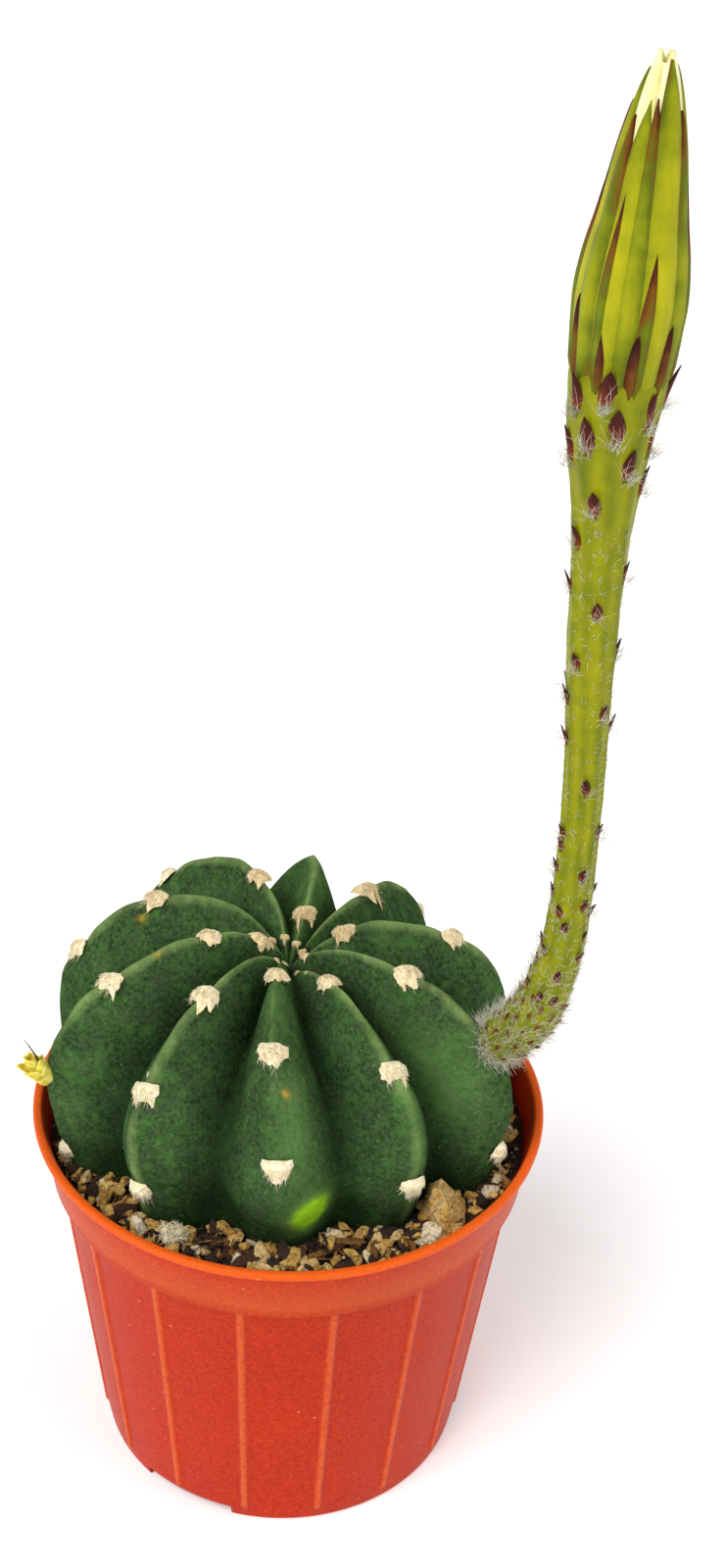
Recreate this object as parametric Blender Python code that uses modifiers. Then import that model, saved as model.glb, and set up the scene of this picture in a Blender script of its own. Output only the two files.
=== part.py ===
"""Potted echinopsis: a ribbed cactus with one tall closed flower bud, in a 9 cm nursery pot.

Run with blender --background --python part.py, or from the text editor. Metres, +Z up, front at -Y.
The origin is the centre of the pot's base, on the surface that the pot stands on.
"""
from math import atan2, cos, hypot, pi, radians, sin
import random

import bmesh
import bpy
from mathutils import Matrix, Vector

# Driving dimensions, in metres
MM = 0.001
GAP = 0.3 * MM
TURN_STEPS = 64

# The pot: heights and outer radii of a 9 cm nursery pot
RIM_R, RIM_Z = 45.0 * MM, 72.0 * MM
LIP_Z = 70.5 * MM
COLLAR_R, COLLAR_Z = 42.0 * MM, 59.5 * MM
BODY_R, BASE_R = 40.3 * MM, 32.9 * MM
FLOOR = 1.4 * MM
MOULD_RIBS = 16
FOOT_SLOTS = 3
SLOT_HIGH, SLOT_WIDE = 2.3 * MM, 17.6 * MM

# The soil, level inside the rim
SOIL_Z = 66.0 * MM
GRAINS = 84

# The stem: each rib's azimuth in degrees, from the front rib round by the right, how far it swings by the growing
# point, and its relative size in its upper half and at the soil. The growing point lies off the centre by APEX.
STEM_CENTRE = Vector((0.4, 1.8, 73.0)) * MM
RIB_AZIMUTH = (269, 306, 335, 375, 417, 452, 493, 531, 562, 592)
RIB_SWING = (-13, -5, -9, 8, -11, -23, -32, -26, 10, 1)
RIB_UPPER = (1.06, 0.98, 1.085, 1.01, 1.01, 1.05, 1.09, 1.10, 1.16, 1.07)
RIB_LOWER = (0.93, 0.93, 1.03, 1.01, 1.00, 1.03, 1.04, 1.08, 1.10, 1.00)
APEX = (-1.35, -1.5)
# Tilt from the plant's axis in degrees, against the ridge's distance from the centre in millimetres
RIDGE = ((0, 25.0), (12, 32.0), (28, 37.1), (45, 40.0), (62, 41.2), (80, 39.0), (100, 37.3), (122, 35.5),
         (150, 31.0), (180, 29.0))
# Tilt against the depth of the furrow, as a share of the ridge's distance
FURROW = ((0, 0.0), (12, 0.15), (28, 0.33), (45, 0.34), (62, 0.28), (80, 0.2), (100, 0.15), (122, 0.11),
          (150, 0.05), (180, 0.0))
# The tilts of the woolly areoles down each rib
AREOLES = ((20, 43, 69), (21, 51, 84), (33, 88), (16, 45, 76), (31, 66, 94), (13, 42, 72), (23, 58, 92),
           (37, 60, 91), (9, 22, 46, 95), (34, 60, 88))

# The flower: centre line in millimetres, and the tube's radius in millimetres at each point
TUBE = (((33.2, -11.3, 94.5), 3.6), ((35.4, -12.8, 97.4), 4.3), ((38.2, -14.8, 101.6), 4.4),
        ((40.6, -16.3, 106.8), 4.2), ((42.4, -17.0, 113.0), 3.8), ((43.9, -17.0, 122.0), 3.5),
        ((44.6, -17.0, 138.0), 3.15), ((44.4, -17.0, 156.0), 3.25), ((43.7, -17.0, 174.0), 3.7),
        ((43.4, -17.0, 190.0), 4.1), ((43.3, -17.0, 200.0), 4.9), ((43.2, -17.0, 210.0), 6.2),
        ((43.8, -17.0, 221.7), 7.3))
TUBE_TIP = Vector((43.8, -17.0, 221.7)) * MM
BUD_FOOT = Vector((43.8, -17.0, 222.0)) * MM
BUD_LEAN = radians(2.4)
# Height above the bud's foot against its radius, both in millimetres
BUD = ((0.0, 7.1), (4.5, 7.5), (9.5, 7.75), (15.0, 7.3), (21.0, 6.3), (28.0, 5.4), (33.0, 4.6), (38.0, 3.6),
       (43.0, 2.4))
TEPALS = 12
TEPAL_THICK = 1.4 * MM
# The scales on the tube: height in millimetres, and azimuth in degrees from the front, right positive
SCALES_SEEN = ((111, -25), (111, 11), (116, -79), (119, -59), (119, 47), (125, -13), (127, 79), (129, 36), (130, -79),
               (135, -79), (142, -64), (142, 65), (151, 2), (159, -79), (161, 79), (164, 37), (166, -79), (173, -42),
               (174, 79), (182, 3), (185, -79), (187, 72), (193, -60), (199, -22), (201, 79), (205, 28), (206, -72),
               (208, 67), (209, -36), (211, 3), (213, 46), (214, -59), (216, -18), (215, 77))
SCALES_BEHIND = tuple((112 + 6.1 * i, 118 + (i * 137.5) % 124) for i in range(17))

rng = random.Random(1559)

PARTS = bpy.data.collections.new("potted_echinopsis")
CUTTERS = bpy.data.collections.new("cutters")


def curve(table, x):
    """Value at x of the smooth curve through a table's points (Catmull-Rom)."""
    xs = [row[0] for row in table]
    ys = [row[1] for row in table]
    x = min(max(x, xs[0]), xs[-1])
    i = max(k for k in range(len(xs) - 1) if xs[k] <= x)

    def slope(k):
        a, b = max(k - 1, 0), min(k + 1, len(xs) - 1)
        return (ys[b] - ys[a]) / (xs[b] - xs[a])

    h = xs[i + 1] - xs[i]
    t = (x - xs[i]) / h
    return (ys[i] * (1 + 2 * t) * (1 - t) ** 2 + slope(i) * h * t * (1 - t) ** 2
            + ys[i + 1] * t * t * (3 - 2 * t) + slope(i + 1) * h * t * t * (t - 1))


def material(name, colour, roughness):
    """A plain Principled material in linear colour."""
    mat = bpy.data.materials.new(name)
    mat.use_nodes = True
    shader = mat.node_tree.nodes["Principled BSDF"]
    shader.inputs["Base Color"].default_value = (*colour, 1.0)
    shader.inputs["Roughness"].default_value = roughness
    return mat


def add_object(name, data, mat=None, collection=PARTS):
    """Link a new object, as a part or as a cutter."""
    obj = bpy.data.objects.new(name, data)
    collection.objects.link(obj)
    if mat:
        data.materials.append(mat)
    if collection is not PARTS:
        obj.hide_render = True
        obj.display_type = "WIRE"
    return obj


def mesh_from(bm, name):
    """Turn a bmesh into mesh data."""
    bmesh.ops.recalc_face_normals(bm, faces=bm.faces)
    mesh = bpy.data.meshes.new(name)
    bm.to_mesh(mesh)
    bm.free()
    return mesh


def baked(obj):
    """The object's mesh as its modifiers leave it, with loose caps welded."""
    graph = bpy.context.evaluated_depsgraph_get()
    mesh = bpy.data.meshes.new_from_object(obj.evaluated_get(graph))
    bm = bmesh.new()
    bm.from_mesh(mesh)
    bmesh.ops.remove_doubles(bm, verts=bm.verts, dist=1e-6)
    bpy.data.meshes.remove(mesh)
    return mesh_from(bm, obj.name)


def turned(name, profile, mat=None, collection=PARTS, steps=TURN_STEPS):
    """A solid of revolution about Z, from a profile of (radius, height) that starts and ends on the axis."""
    mesh = bpy.data.meshes.new(name)
    points = [(r, 0.0, z) for r, z in profile]
    mesh.from_pydata(points, [(i, i + 1) for i in range(len(points) - 1)], [])
    obj = add_object(name, mesh, mat, collection)
    screw = obj.modifiers.new("Turn", "SCREW")
    screw.axis = "Z"
    screw.steps = steps
    screw.render_steps = steps
    screw.use_merge_vertices = True
    screw.merge_threshold = 0.00001
    return obj


def cut(obj, cutter, operation="DIFFERENCE", solver="EXACT"):
    """Boolean with one object, or with every object of a collection."""
    mod = obj.modifiers.new(cutter.name, "BOOLEAN")
    mod.operation = operation
    mod.solver = solver
    if isinstance(cutter, bpy.types.Collection):
        mod.operand_type = "COLLECTION"
        mod.collection = cutter
    else:
        mod.object = cutter


def group(name):
    """A collection of repeated pieces, kept among the cutters."""
    made = bpy.data.collections.new(name)
    CUTTERS.children.link(made)
    return made


def stone_mesh(name, size, points=14):
    """An angular stone: the convex hull of points scattered on an ellipsoid."""
    bm = bmesh.new()
    for _ in range(points):
        way = Vector((rng.gauss(0, 1), rng.gauss(0, 1), rng.gauss(0, 1))).normalized()
        reach = rng.uniform(0.82, 1.0)
        bm.verts.new((way.x * size[0] / 2 * reach, way.y * size[1] / 2 * reach, way.z * size[2] / 2 * reach))
    hull = bmesh.ops.convex_hull(bm, input=bm.verts)
    loose = [g for g in hull["geom_interior"] + hull["geom_unused"] if isinstance(g, bmesh.types.BMVert)]
    bmesh.ops.delete(bm, geom=list(set(loose)), context="VERTS")
    return mesh_from(bm, name)


def stem_point(turn, tilt, grow=0.0):
    """A point on the stem, turn ribs round from the front rib and tilt degrees from the plant's axis."""
    k = int(turn) % 10
    step = turn - int(turn)
    after = (k + 1) % 10
    swing = max(1 - tilt / 75, 0) ** 1.5
    azimuth = RIB_AZIMUTH[k] + step * ((RIB_AZIMUTH[after] - RIB_AZIMUTH[k]) % 360)
    azimuth = radians(azimuth + swing * (RIB_SWING[k] + step * (RIB_SWING[after] - RIB_SWING[k])))
    ease = step * step * (3 - 2 * step)
    low = min(max((tilt - 72) / 26, 0), 1)
    low = low * low * (3 - 2 * low)
    upper = RIB_UPPER[k] + ease * (RIB_UPPER[after] - RIB_UPPER[k])
    lower = RIB_LOWER[k] + ease * (RIB_LOWER[after] - RIB_LOWER[k])
    beside = abs(2 * step - 1)
    round_rib = min(max((tilt - 35) / 50, 0), 1)
    crest = ((1 - round_rib) * (0.5 * beside + 0.5 * sin(pi / 2 * beside))
             + round_rib * (0.5 * sin(pi / 2 * beside) + 0.25 - 0.25 * cos(pi * beside)))
    reach = (upper + (lower - upper) * low) * curve(RIDGE, tilt) * (1 - curve(FURROW, tilt) * (1 - crest)) * MM + grow
    a = radians(tilt)
    lean = max(1 - tilt / 60, 0) ** 1.2 * MM
    return STEM_CENTRE + Vector((APEX[0] * lean, APEX[1] * lean, 0)) + reach * Vector(
        (sin(a) * cos(azimuth), sin(a) * sin(azimuth), cos(a)))


def stem_mesh(name, grow=0.0):
    """A UV sphere whose points are moved to the ribbed form, with a column of points on every crest and furrow."""
    bm = bmesh.new()
    bmesh.ops.create_uvsphere(bm, u_segments=80, v_segments=30, radius=1.0)
    for v in bm.verts:
        turn = (atan2(v.co.y, v.co.x) / (2 * pi) * 10) % 10
        turn = round(turn * 8) / 8 % 10
        tilt = atan2(hypot(v.co.x, v.co.y), v.co.z) * 180 / pi
        v.co = stem_point(turn, tilt, grow)
    return mesh_from(bm, name)


def mould_rib(name, azimuth, foot_z, top_z):
    """One thin raised line down the pot's wall, sunk half into it."""
    slope = atan2(BODY_R - BASE_R, COLLAR_Z)
    middle = (foot_z + top_z) / 2
    radius = BASE_R + (BODY_R - BASE_R) * middle / COLLAR_Z
    bm = bmesh.new()
    bmesh.ops.create_cube(bm, size=1.0)
    bmesh.ops.scale(bm, vec=(1.2 * MM, 1.3 * MM, (top_z - foot_z) / cos(slope)), verts=bm.verts)
    bmesh.ops.rotate(bm, matrix=Matrix.Rotation(slope, 3, "X"), verts=bm.verts)
    bmesh.ops.translate(bm, vec=(0, -radius + 0.15 * MM, middle), verts=bm.verts)
    bmesh.ops.rotate(bm, matrix=Matrix.Rotation(azimuth, 3, "Z"), verts=bm.verts)
    return mesh_from(bm, name)


def box_mesh(name, size, centre, azimuth):
    """A box at a centre, turned about Z."""
    bm = bmesh.new()
    bmesh.ops.create_cube(bm, size=1.0)
    bmesh.ops.scale(bm, vec=size, verts=bm.verts)
    bmesh.ops.translate(bm, vec=centre, verts=bm.verts)
    bmesh.ops.rotate(bm, matrix=Matrix.Rotation(azimuth, 3, "Z"), verts=bm.verts)
    return mesh_from(bm, name)


def blade_mesh(name, length, width, thick, sides=6):
    """A pointed scale along +Z: a cone flattened across Y, with its root at the origin."""
    bm = bmesh.new()
    bmesh.ops.create_cone(bm, cap_ends=True, segments=sides, radius1=width / 2, radius2=width / 12, depth=length)
    bmesh.ops.scale(bm, vec=(1, thick / width, 1), verts=bm.verts)
    bmesh.ops.translate(bm, vec=(0, 0, length / 2), verts=bm.verts)
    return mesh_from(bm, name)


def facing(outward, up):
    """A rotation whose Z runs along up and whose -Y faces outward."""
    z = up.normalized()
    y = -(outward - outward.dot(z) * z).normalized()
    return Matrix((y.cross(z), y, z)).transposed().to_4x4()


def tube_at(share):
    """Centre, direction and radius of the floral tube at a share of its length, from 0 to 1."""
    rows = len(TUBE) - 1
    table = [tuple((i / rows, row[0][axis]) for i, row in enumerate(TUBE)) for axis in range(3)]
    radius = tuple((i / rows, row[1]) for i, row in enumerate(TUBE))
    here = Vector([curve(t, share) for t in table]) * MM
    near = Vector([curve(t, min(share + 0.01, 1.0)) for t in table])
    far = Vector([curve(t, max(share - 0.01, 0.0)) for t in table])
    return here, (near - far).normalized(), curve(radius, share) * MM


def make_pot(mat):
    """The moulded pot: turned shell, mould ribs, and slots at the foot."""
    pot = turned("pot", [
        (0, FLOOR), (31.0 * MM, FLOOR), (31.6 * MM, 2.0 * MM), (39.2 * MM, 58.6 * MM), (40.9 * MM, 60.4 * MM),
        (43.1 * MM, 70.8 * MM), (43.4 * MM, 71.7 * MM), (43.9 * MM, RIM_Z), (44.6 * MM, RIM_Z),
        (RIM_R, 71.6 * MM), (RIM_R, 71.0 * MM), (44.7 * MM, LIP_Z), (44.1 * MM, 70.3 * MM),
        (COLLAR_R, 60.1 * MM), (41.6 * MM, COLLAR_Z), (BODY_R, COLLAR_Z - 0.3 * MM),
        (BASE_R, 0.7 * MM), (BASE_R - 0.7 * MM, 0), (0, 0)], mat)
    ribs = group("mould_ribs")
    for i in range(MOULD_RIBS):
        name = f"mould_rib_{i + 1}"
        azimuth = radians(14 + i * 360 / MOULD_RIBS)
        add_object(name, mould_rib(name, azimuth, 3.4 * MM, 59.4 * MM), collection=ribs)
    slots = group("foot_slots")
    for i in range(FOOT_SLOTS):
        name = f"foot_slot_{i + 1}"
        data = box_mesh(name, (SLOT_WIDE, 7 * MM, SLOT_HIGH + 1 * MM),
                        (0, -BASE_R, (SLOT_HIGH - 1 * MM) / 2), radians(-28.5 + i * 360 / FOOT_SLOTS))
        add_object(name, data, collection=slots)
    cut(pot, ribs, "UNION")
    cut(pot, slots)


def make_soil(mat, stem_hole, stone_holes):
    """The packed mix: a plug that fills the pot, with its pumice grains and the plant's hole."""
    soil = turned("soil", [
        (0, SOIL_Z), (30 * MM, SOIL_Z + 0.4 * MM), (36 * MM, SOIL_Z), (40.4 * MM, SOIL_Z - 0.5 * MM),
        (41.5 * MM, SOIL_Z - 1.0 * MM), (40.5 * MM, 60.7 * MM), (38.8 * MM, 58.7 * MM),
        (31.2 * MM, 2.3 * MM), (30.6 * MM, FLOOR + GAP), (0, FLOOR + GAP)], mat)
    grains = group("soil_grains")
    for i in range(GRAINS):
        name = f"grain_{i + 1}"
        size = rng.uniform(2.4, 4.6) * MM
        radius = rng.uniform(26, 41.0) * MM - size / 2 * 0.9
        azimuth = rng.uniform(0, 2 * pi)
        grain = add_object(name, stone_mesh(name, (size * rng.uniform(0.9, 1.3), size, size * 0.8), 11),
                           collection=grains)
        lift = rng.uniform(-0.9, 0.4) * MM
        grain.location = (radius * cos(azimuth), radius * sin(azimuth), SOIL_Z + lift)
        grain.rotation_euler = (rng.uniform(-0.6, 0.6), rng.uniform(-0.6, 0.6), rng.uniform(0, 6.2))
    cut(soil, grains, "UNION")
    cut(soil, stem_hole)
    cut(soil, stone_holes)


def make_stones(mat, holes):
    """The three stones that lie loose on the mix, each with a dimple under it."""
    places = (("pumice_stone_large", (9.2, 6.6, 9.6), (28.8, -23.6, 68.3), -0.5),
              ("pumice_stone_oval", (5.6, 4.4, 4.0), (25.2, -29.6, 67.2), 0.4),
              ("pumice_stone_flat", (5.8, 4.6, 3.4), (-3.2, -35.6, 67.2), 0.1))
    for name, size, place, spin in places:
        data = stone_mesh(name, [s * MM for s in size])
        stone = add_object(name, data, mat)
        stone.location = Vector(place) * MM
        stone.rotation_euler = (0.1, 0.05, spin)
        grown = data.copy()
        for v in grown.vertices:
            v.co += v.co.normalized() * GAP * 1.5
        hole = add_object(name + "_hole", grown, collection=holes)
        hole.location = stone.location
        hole.rotation_euler = stone.rotation_euler


def make_stem(mat):
    """The ribbed stem, with a woolly cushion at each areole and small ones round the growing point."""
    stem = add_object("cactus_stem", stem_mesh("cactus_stem"), mat)
    areoles = group("areoles")
    spots = [(rib, tilt, 1.0) for rib, row in enumerate(AREOLES) for tilt in row]
    spots += [(rib, 6.5, 0.55) for rib in range(0, 10, 2)]
    for i, (rib, tilt, scale) in enumerate(spots):
        name = f"areole_{i + 1}"
        bm = bmesh.new()
        bmesh.ops.create_icosphere(bm, subdivisions=1, radius=1.0)
        for v in bm.verts:
            v.co *= rng.uniform(0.9, 1.12)
        bmesh.ops.scale(bm, vec=(2.6 * MM * scale, 1.5 * MM * scale, 2.3 * MM * scale), verts=bm.verts)
        pad = add_object(name, mesh_from(bm, name), collection=areoles)
        place = stem_point(rib, tilt)
        down = (stem_point(rib, min(tilt + 3, 178)) - stem_point(rib, tilt - 3)).normalized()
        side = (stem_point(rib + 0.1, tilt) - place).normalized()
        outward = side.cross(down)
        outward *= 1 if outward.dot(place - STEM_CENTRE) > 0 else -1
        pad.matrix_world = Matrix.Translation(place + down * 0.3 * MM) @ facing(outward, -down)
    cut(stem, areoles, "UNION")


def make_tube(mat, stem_hole):
    """The floral tube, clear of the stem, with its scales."""
    data = bpy.data.curves.new("tube_line", "CURVE")
    data.dimensions = "3D"
    data.bevel_depth = 1.0
    data.bevel_resolution = 3
    data.use_fill_caps = True
    spline = data.splines.new("POLY")
    count = 32
    spline.points.add(count - 1)
    for i in range(count):
        place, _, radius = tube_at(i / (count - 1))
        spline.points[i].co = (*place, 1.0)
        spline.points[i].radius = radius
    line = add_object("tube_line", data)
    tube = add_object("flower_tube", baked(line), mat)
    bpy.data.objects.remove(line)
    scales = group("tube_scales")
    heights = [tube_at(i / 300)[0].z / MM for i in range(301)]
    for i, (height, azimuth) in enumerate(SCALES_SEEN + SCALES_BEHIND):
        name = f"tube_scale_{i + 1}"
        share = max(k for k in range(301) if heights[k] <= height) / 300
        place, along, radius = tube_at(share)
        right = Vector((0, 1, 0)).cross(along).normalized()
        outward = Matrix.Rotation(radians(-azimuth), 3, along) @ along.cross(right).normalized() * -1
        upper = curve(((110, 0.0), (190, 0.35), (215, 1.0)), height)
        length = (2.3 + 4.2 * upper) * MM
        width = (1.4 + 1.8 * upper) * MM
        scale = add_object(name, blade_mesh(name, length, width, 0.9 * MM), collection=scales)
        up = (along + outward * 0.16).normalized()
        root = place + outward * (radius - 0.25 * MM) - along * 0.4 * MM
        scale.matrix_world = Matrix.Translation(root) @ facing(outward, up)
    cut(tube, scales, "UNION")
    cut(tube, stem_hole)
    top = box_mesh("tube_top", (30 * MM, 30 * MM, 10 * MM), TUBE_TIP + Vector((0, 0, 5 * MM)), 0)
    cut(tube, add_object("tube_top", top, collection=CUTTERS))


def tepal_mesh(name, azimuth, foot, top, lift):
    """One long pointed tepal that follows the bud's side: a grid moved by formula, for Solidify to thicken."""
    bm = bmesh.new()
    bmesh.ops.create_grid(bm, x_segments=3, y_segments=8, size=0.5)
    for v in bm.verts:
        along = v.co.y + 0.5
        across = v.co.x * 2
        height = foot + (top - foot) * along
        share = 0.93 * (1 - along ** 4 * 0.8)
        radius = max(curve(BUD, height) - 0.7, 2.75) + lift - 0.6 * across ** 2 * (1 - along ** 3)
        turn = azimuth + across * share * pi / TEPALS
        v.co = Vector((radius * sin(turn), -radius * cos(turn), height)) * MM
    return mesh_from(bm, name)


def make_bud(tepal_mat, petal_mat):
    """The closed bud: outer tepals fused round a core, and the rolled inner petals in its open tip."""
    place = Matrix.Translation(BUD_FOOT) @ Matrix.Rotation(BUD_LEAN, 4, "Y")
    core = [(curve(BUD, h) - 0.4, h) for h in (39, 36, 33, 28, 24, 19, 14, 9, 4, 0)]
    bud = turned("bud_tepals", [(0, 39 * MM)] + [(r * MM, h * MM) for r, h in core] + [(0, 0)],
                 tepal_mat, steps=28)
    bud.matrix_world = place
    blades = group("bud_blades")
    rows = [(i * 2 * pi / TEPALS, 0.9 + (i % 3) * 0.5, 36.5 + (i * 5 % 7) * 0.75, 0.25 * (i % 2))
            for i in range(TEPALS)]
    for i, row in enumerate(rows):
        name = f"tepal_{i + 1}"
        blade = add_object(name, tepal_mesh(name, *row), collection=blades)
        blade.matrix_world = place
        thick = blade.modifiers.new("Thickness", "SOLIDIFY")
        thick.thickness = TEPAL_THICK
        thick.offset = 0.0
    cut(bud, blades, "UNION", "MANIFOLD")
    petals = turned("bud_petals", [(0, 43.6 * MM), (0.5 * MM, 43.2 * MM), (1.35 * MM, 40 * MM), (1.9 * MM, 36 * MM),
                                   (2.1 * MM, 31 * MM), (1.7 * MM, 27 * MM), (0, 26.4 * MM)],
                    petal_mat, steps=16)
    petals.matrix_world = place
    socket = turned("petal_socket", [(0, 60 * MM), (1.7 * MM, 60 * MM), (1.8 * MM, 40.2 * MM), (2.3 * MM, 36 * MM),
                                     (2.45 * MM, 31 * MM), (2.0 * MM, 26.7 * MM), (0, 26.0 * MM)],
                    collection=CUTTERS, steps=16)
    socket.matrix_world = place
    cut(bud, socket, "DIFFERENCE", "MANIFOLD")


def make_withered_bud(mat, stem_hole):
    """The dried bud on the left rib: a small torn cup with one stiff bristle."""
    seat = stem_point(8, 73)
    outward = (seat - STEM_CENTRE).normalized()
    up = (outward + Vector((0, 0, 0.55))).normalized()
    place = Matrix.Translation(seat - outward * 0.8 * MM) @ facing(Vector((0, -1, 0)), up)
    bud = turned("withered_bud", [(0, 2.6 * MM), (1.2 * MM, 3.0 * MM), (1.9 * MM, 4.4 * MM), (2.5 * MM, 4.3 * MM),
                                  (2.2 * MM, 3.0 * MM), (2.0 * MM, 1.4 * MM), (1.6 * MM, 0), (0, 0)],
                 mat, steps=14)
    bud.matrix_world = place
    pieces = group("bud_tatters")
    for i in range(5):
        name = f"tatter_{i + 1}"
        tatter = add_object(name, blade_mesh(name, (1.8 + 0.4 * (i % 2)) * MM, 1.4 * MM, 0.8 * MM), collection=pieces)
        turn = i * 2 * pi / 5
        tatter.matrix_world = place @ Matrix.Translation((2.0 * MM * cos(turn), 2.0 * MM * sin(turn), 3.4 * MM))
    bristle = add_object("bristle", blade_mesh("bristle", 6.4 * MM, 0.9 * MM, 0.9 * MM), collection=pieces)
    bristle.matrix_world = place @ Matrix.Translation((0.4 * MM, 0, 1.6 * MM)) @ Matrix.Rotation(0.25, 4, "Y")
    cut(bud, pieces, "UNION")
    cut(bud, stem_hole)


def main():
    """Build every part in the order that the plant was potted."""
    for old in list(bpy.data.objects):
        bpy.data.objects.remove(old)
    scene = bpy.context.scene
    scene.collection.children.link(PARTS)
    scene.collection.children.link(CUTTERS)
    plastic = material("orange_polypropylene", (0.64, 0.051, 0.012), 0.42)
    peat = material("peat_and_pumice", (0.045, 0.026, 0.014), 0.95)
    pumice = material("pumice", (0.46, 0.31, 0.15), 0.9)
    skin = material("cactus_skin", (0.028, 0.078, 0.036), 0.45)
    tube_green = material("tube_green", (0.32, 0.39, 0.015), 0.55)
    tepal_green = material("tepal_green", (0.42, 0.44, 0.012), 0.5)
    cream = material("petal_cream", (0.86, 0.8, 0.43), 0.5)
    straw = material("dried_yellow", (0.7, 0.57, 0.05), 0.7)
    stem_hole = add_object("stem_hole", stem_mesh("stem_hole", GAP * 1.3), collection=CUTTERS)
    stone_holes = group("stone_holes")
    make_pot(plastic)
    make_stones(pumice, stone_holes)
    make_soil(peat, stem_hole, stone_holes)
    make_stem(skin)
    make_tube(tube_green, stem_hole)
    make_bud(tepal_green, cream)
    make_withered_bud(straw, stem_hole)
    for obj in PARTS.objects:
        obj.data.shade_smooth()
        obj.data.set_sharp_from_angle(angle=radians(40))


main()
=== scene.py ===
# %% [markdown]
# # A potted echinopsis with one flower bud
# This lesson dresses a plain model of a small cactus in its nursery pot. The plain model fixes every size and
# place. Each step replaces one of its solids with a finer mesh that lies in the same space.

# %% Load the plain model
from math import cos, pi, radians, sin

import bpy
import numpy as np
from mathutils import Matrix, Vector, noise


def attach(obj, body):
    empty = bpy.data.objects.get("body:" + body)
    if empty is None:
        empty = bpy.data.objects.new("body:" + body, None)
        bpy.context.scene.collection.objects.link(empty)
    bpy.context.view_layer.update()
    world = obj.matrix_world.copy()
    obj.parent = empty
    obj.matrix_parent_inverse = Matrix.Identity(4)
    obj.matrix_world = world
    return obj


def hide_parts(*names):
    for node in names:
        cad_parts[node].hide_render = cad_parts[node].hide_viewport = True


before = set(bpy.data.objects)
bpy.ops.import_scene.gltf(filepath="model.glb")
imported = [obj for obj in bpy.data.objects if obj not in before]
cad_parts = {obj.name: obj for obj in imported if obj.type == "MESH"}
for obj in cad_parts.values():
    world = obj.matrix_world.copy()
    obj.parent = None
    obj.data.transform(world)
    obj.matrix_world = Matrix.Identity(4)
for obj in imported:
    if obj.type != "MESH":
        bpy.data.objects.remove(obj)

MM = 0.001
rng = np.random.default_rng(1559)
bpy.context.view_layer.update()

# %% [markdown]
# ## The camera
# The photograph was taken a little to the right of the pot, 35 cm in front of it and 36 cm up, looking down at
# 33 degrees. A camera can be placed by eye, but here the ellipses of the pot's rim and base gave the numbers and
# the small roll, so that every later comparison starts from the same view.

# %% Camera at the photograph's place
PITCH, ROLL = 0.5769, 0.045
EYE = (0.01045, -0.3468, 0.36413)
level = Vector((1, 0, 0))
ahead = Vector((0, cos(PITCH), -sin(PITCH)))
above = Vector((0, sin(PITCH), cos(PITCH)))
camera_right = level * cos(ROLL) + above * sin(ROLL)
camera_up = above * cos(ROLL) - level * sin(ROLL)
camera_data = bpy.data.cameras.new("camera")
camera_data.sensor_fit = "VERTICAL"
camera_data.sensor_height = 24
camera_data.lens = 38.971
camera_data.clip_start = 10 * MM
camera = bpy.data.objects.new("camera", camera_data)
bpy.context.scene.collection.objects.link(camera)
facing = Matrix((camera_right, camera_up, -ahead)).transposed()
camera.matrix_world = Matrix.Translation(EYE) @ facing.to_4x4()
bpy.context.scene.camera = camera
print("camera", [round(v, 3) for v in EYE])

# %% [markdown]
# ## Shader helpers
# Colours are given as sRGB hex, as in a paint program, and turned to the linear values that a renderer uses. Each
# pattern's scale comes from the size of the real grain in millimetres, so that a material fits its object. One
# helper adds a shader node, and it can link any kind, so no kind of node needs a helper of its own.


# %% Colours, scales and shader nodes
def srgb(code):
    """Linear RGBA of a hex colour."""
    parts = [int(code[i:i + 2], 16) / 255 for i in (1, 3, 5)]
    return (*[c / 12.92 if c <= 0.04045 else ((c + 0.055) / 1.055) ** 2.4 for c in parts], 1.0)


def every(size):
    """Texture scale whose grains or cells are this many millimetres across."""
    return 1 / (size * MM)


def wire(node, inputs):
    """Fill a node's inputs. Each takes a value, a hex colour, an output, or a node for its first output."""
    for key, value in inputs.items():
        if isinstance(value, bpy.types.Node):
            value = value.outputs[0]
        if isinstance(value, bpy.types.NodeSocket):
            node.id_data.links.new(value, node.inputs[key])
        else:
            node.inputs[key].default_value = srgb(value) if isinstance(value, str) else value


def add(tree, kind, inputs=None, stops=None, **settings):
    """Add a shader node. Stops are a colour ramp's places with a hex colour or a grey from 0 to 1."""
    made = tree.nodes.new("ShaderNode" + kind)
    for key, value in settings.items():
        setattr(made, key, value)
    wire(made, inputs or {})
    for i, (place, colour) in enumerate(stops or ()):
        points = made.color_ramp.elements
        point = points[i] if i < 2 else points.new(place)
        point.position = place
        point.color = srgb(colour) if isinstance(colour, str) else (colour, colour, colour, 1)
    return made


def material(name, inputs):
    """A new material, its tree, its shader, and the piece's own coordinates in metres."""
    mat = bpy.data.materials.new(name)
    mat.use_nodes = True
    shader = mat.node_tree.nodes["Principled BSDF"]
    wire(shader, inputs)
    print("material", name)
    return mat, mat.node_tree, shader, add(mat.node_tree, "TexCoord").outputs["Object"]


print("middle grey is", round(srgb("#808080")[0], 3), "in linear light")

# %% [markdown]
# ## Floor and light
# The plant stands on white paper under big soft lights, so the floor reads as pure white and keeps only a soft
# grey shadow at the pot's foot. Area lamps would do, but two wide, far lamps light the floor more evenly. The
# world is bright near the horizon, so that views from the side are white too, and dim above, so that the plant
# keeps its shading.


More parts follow.
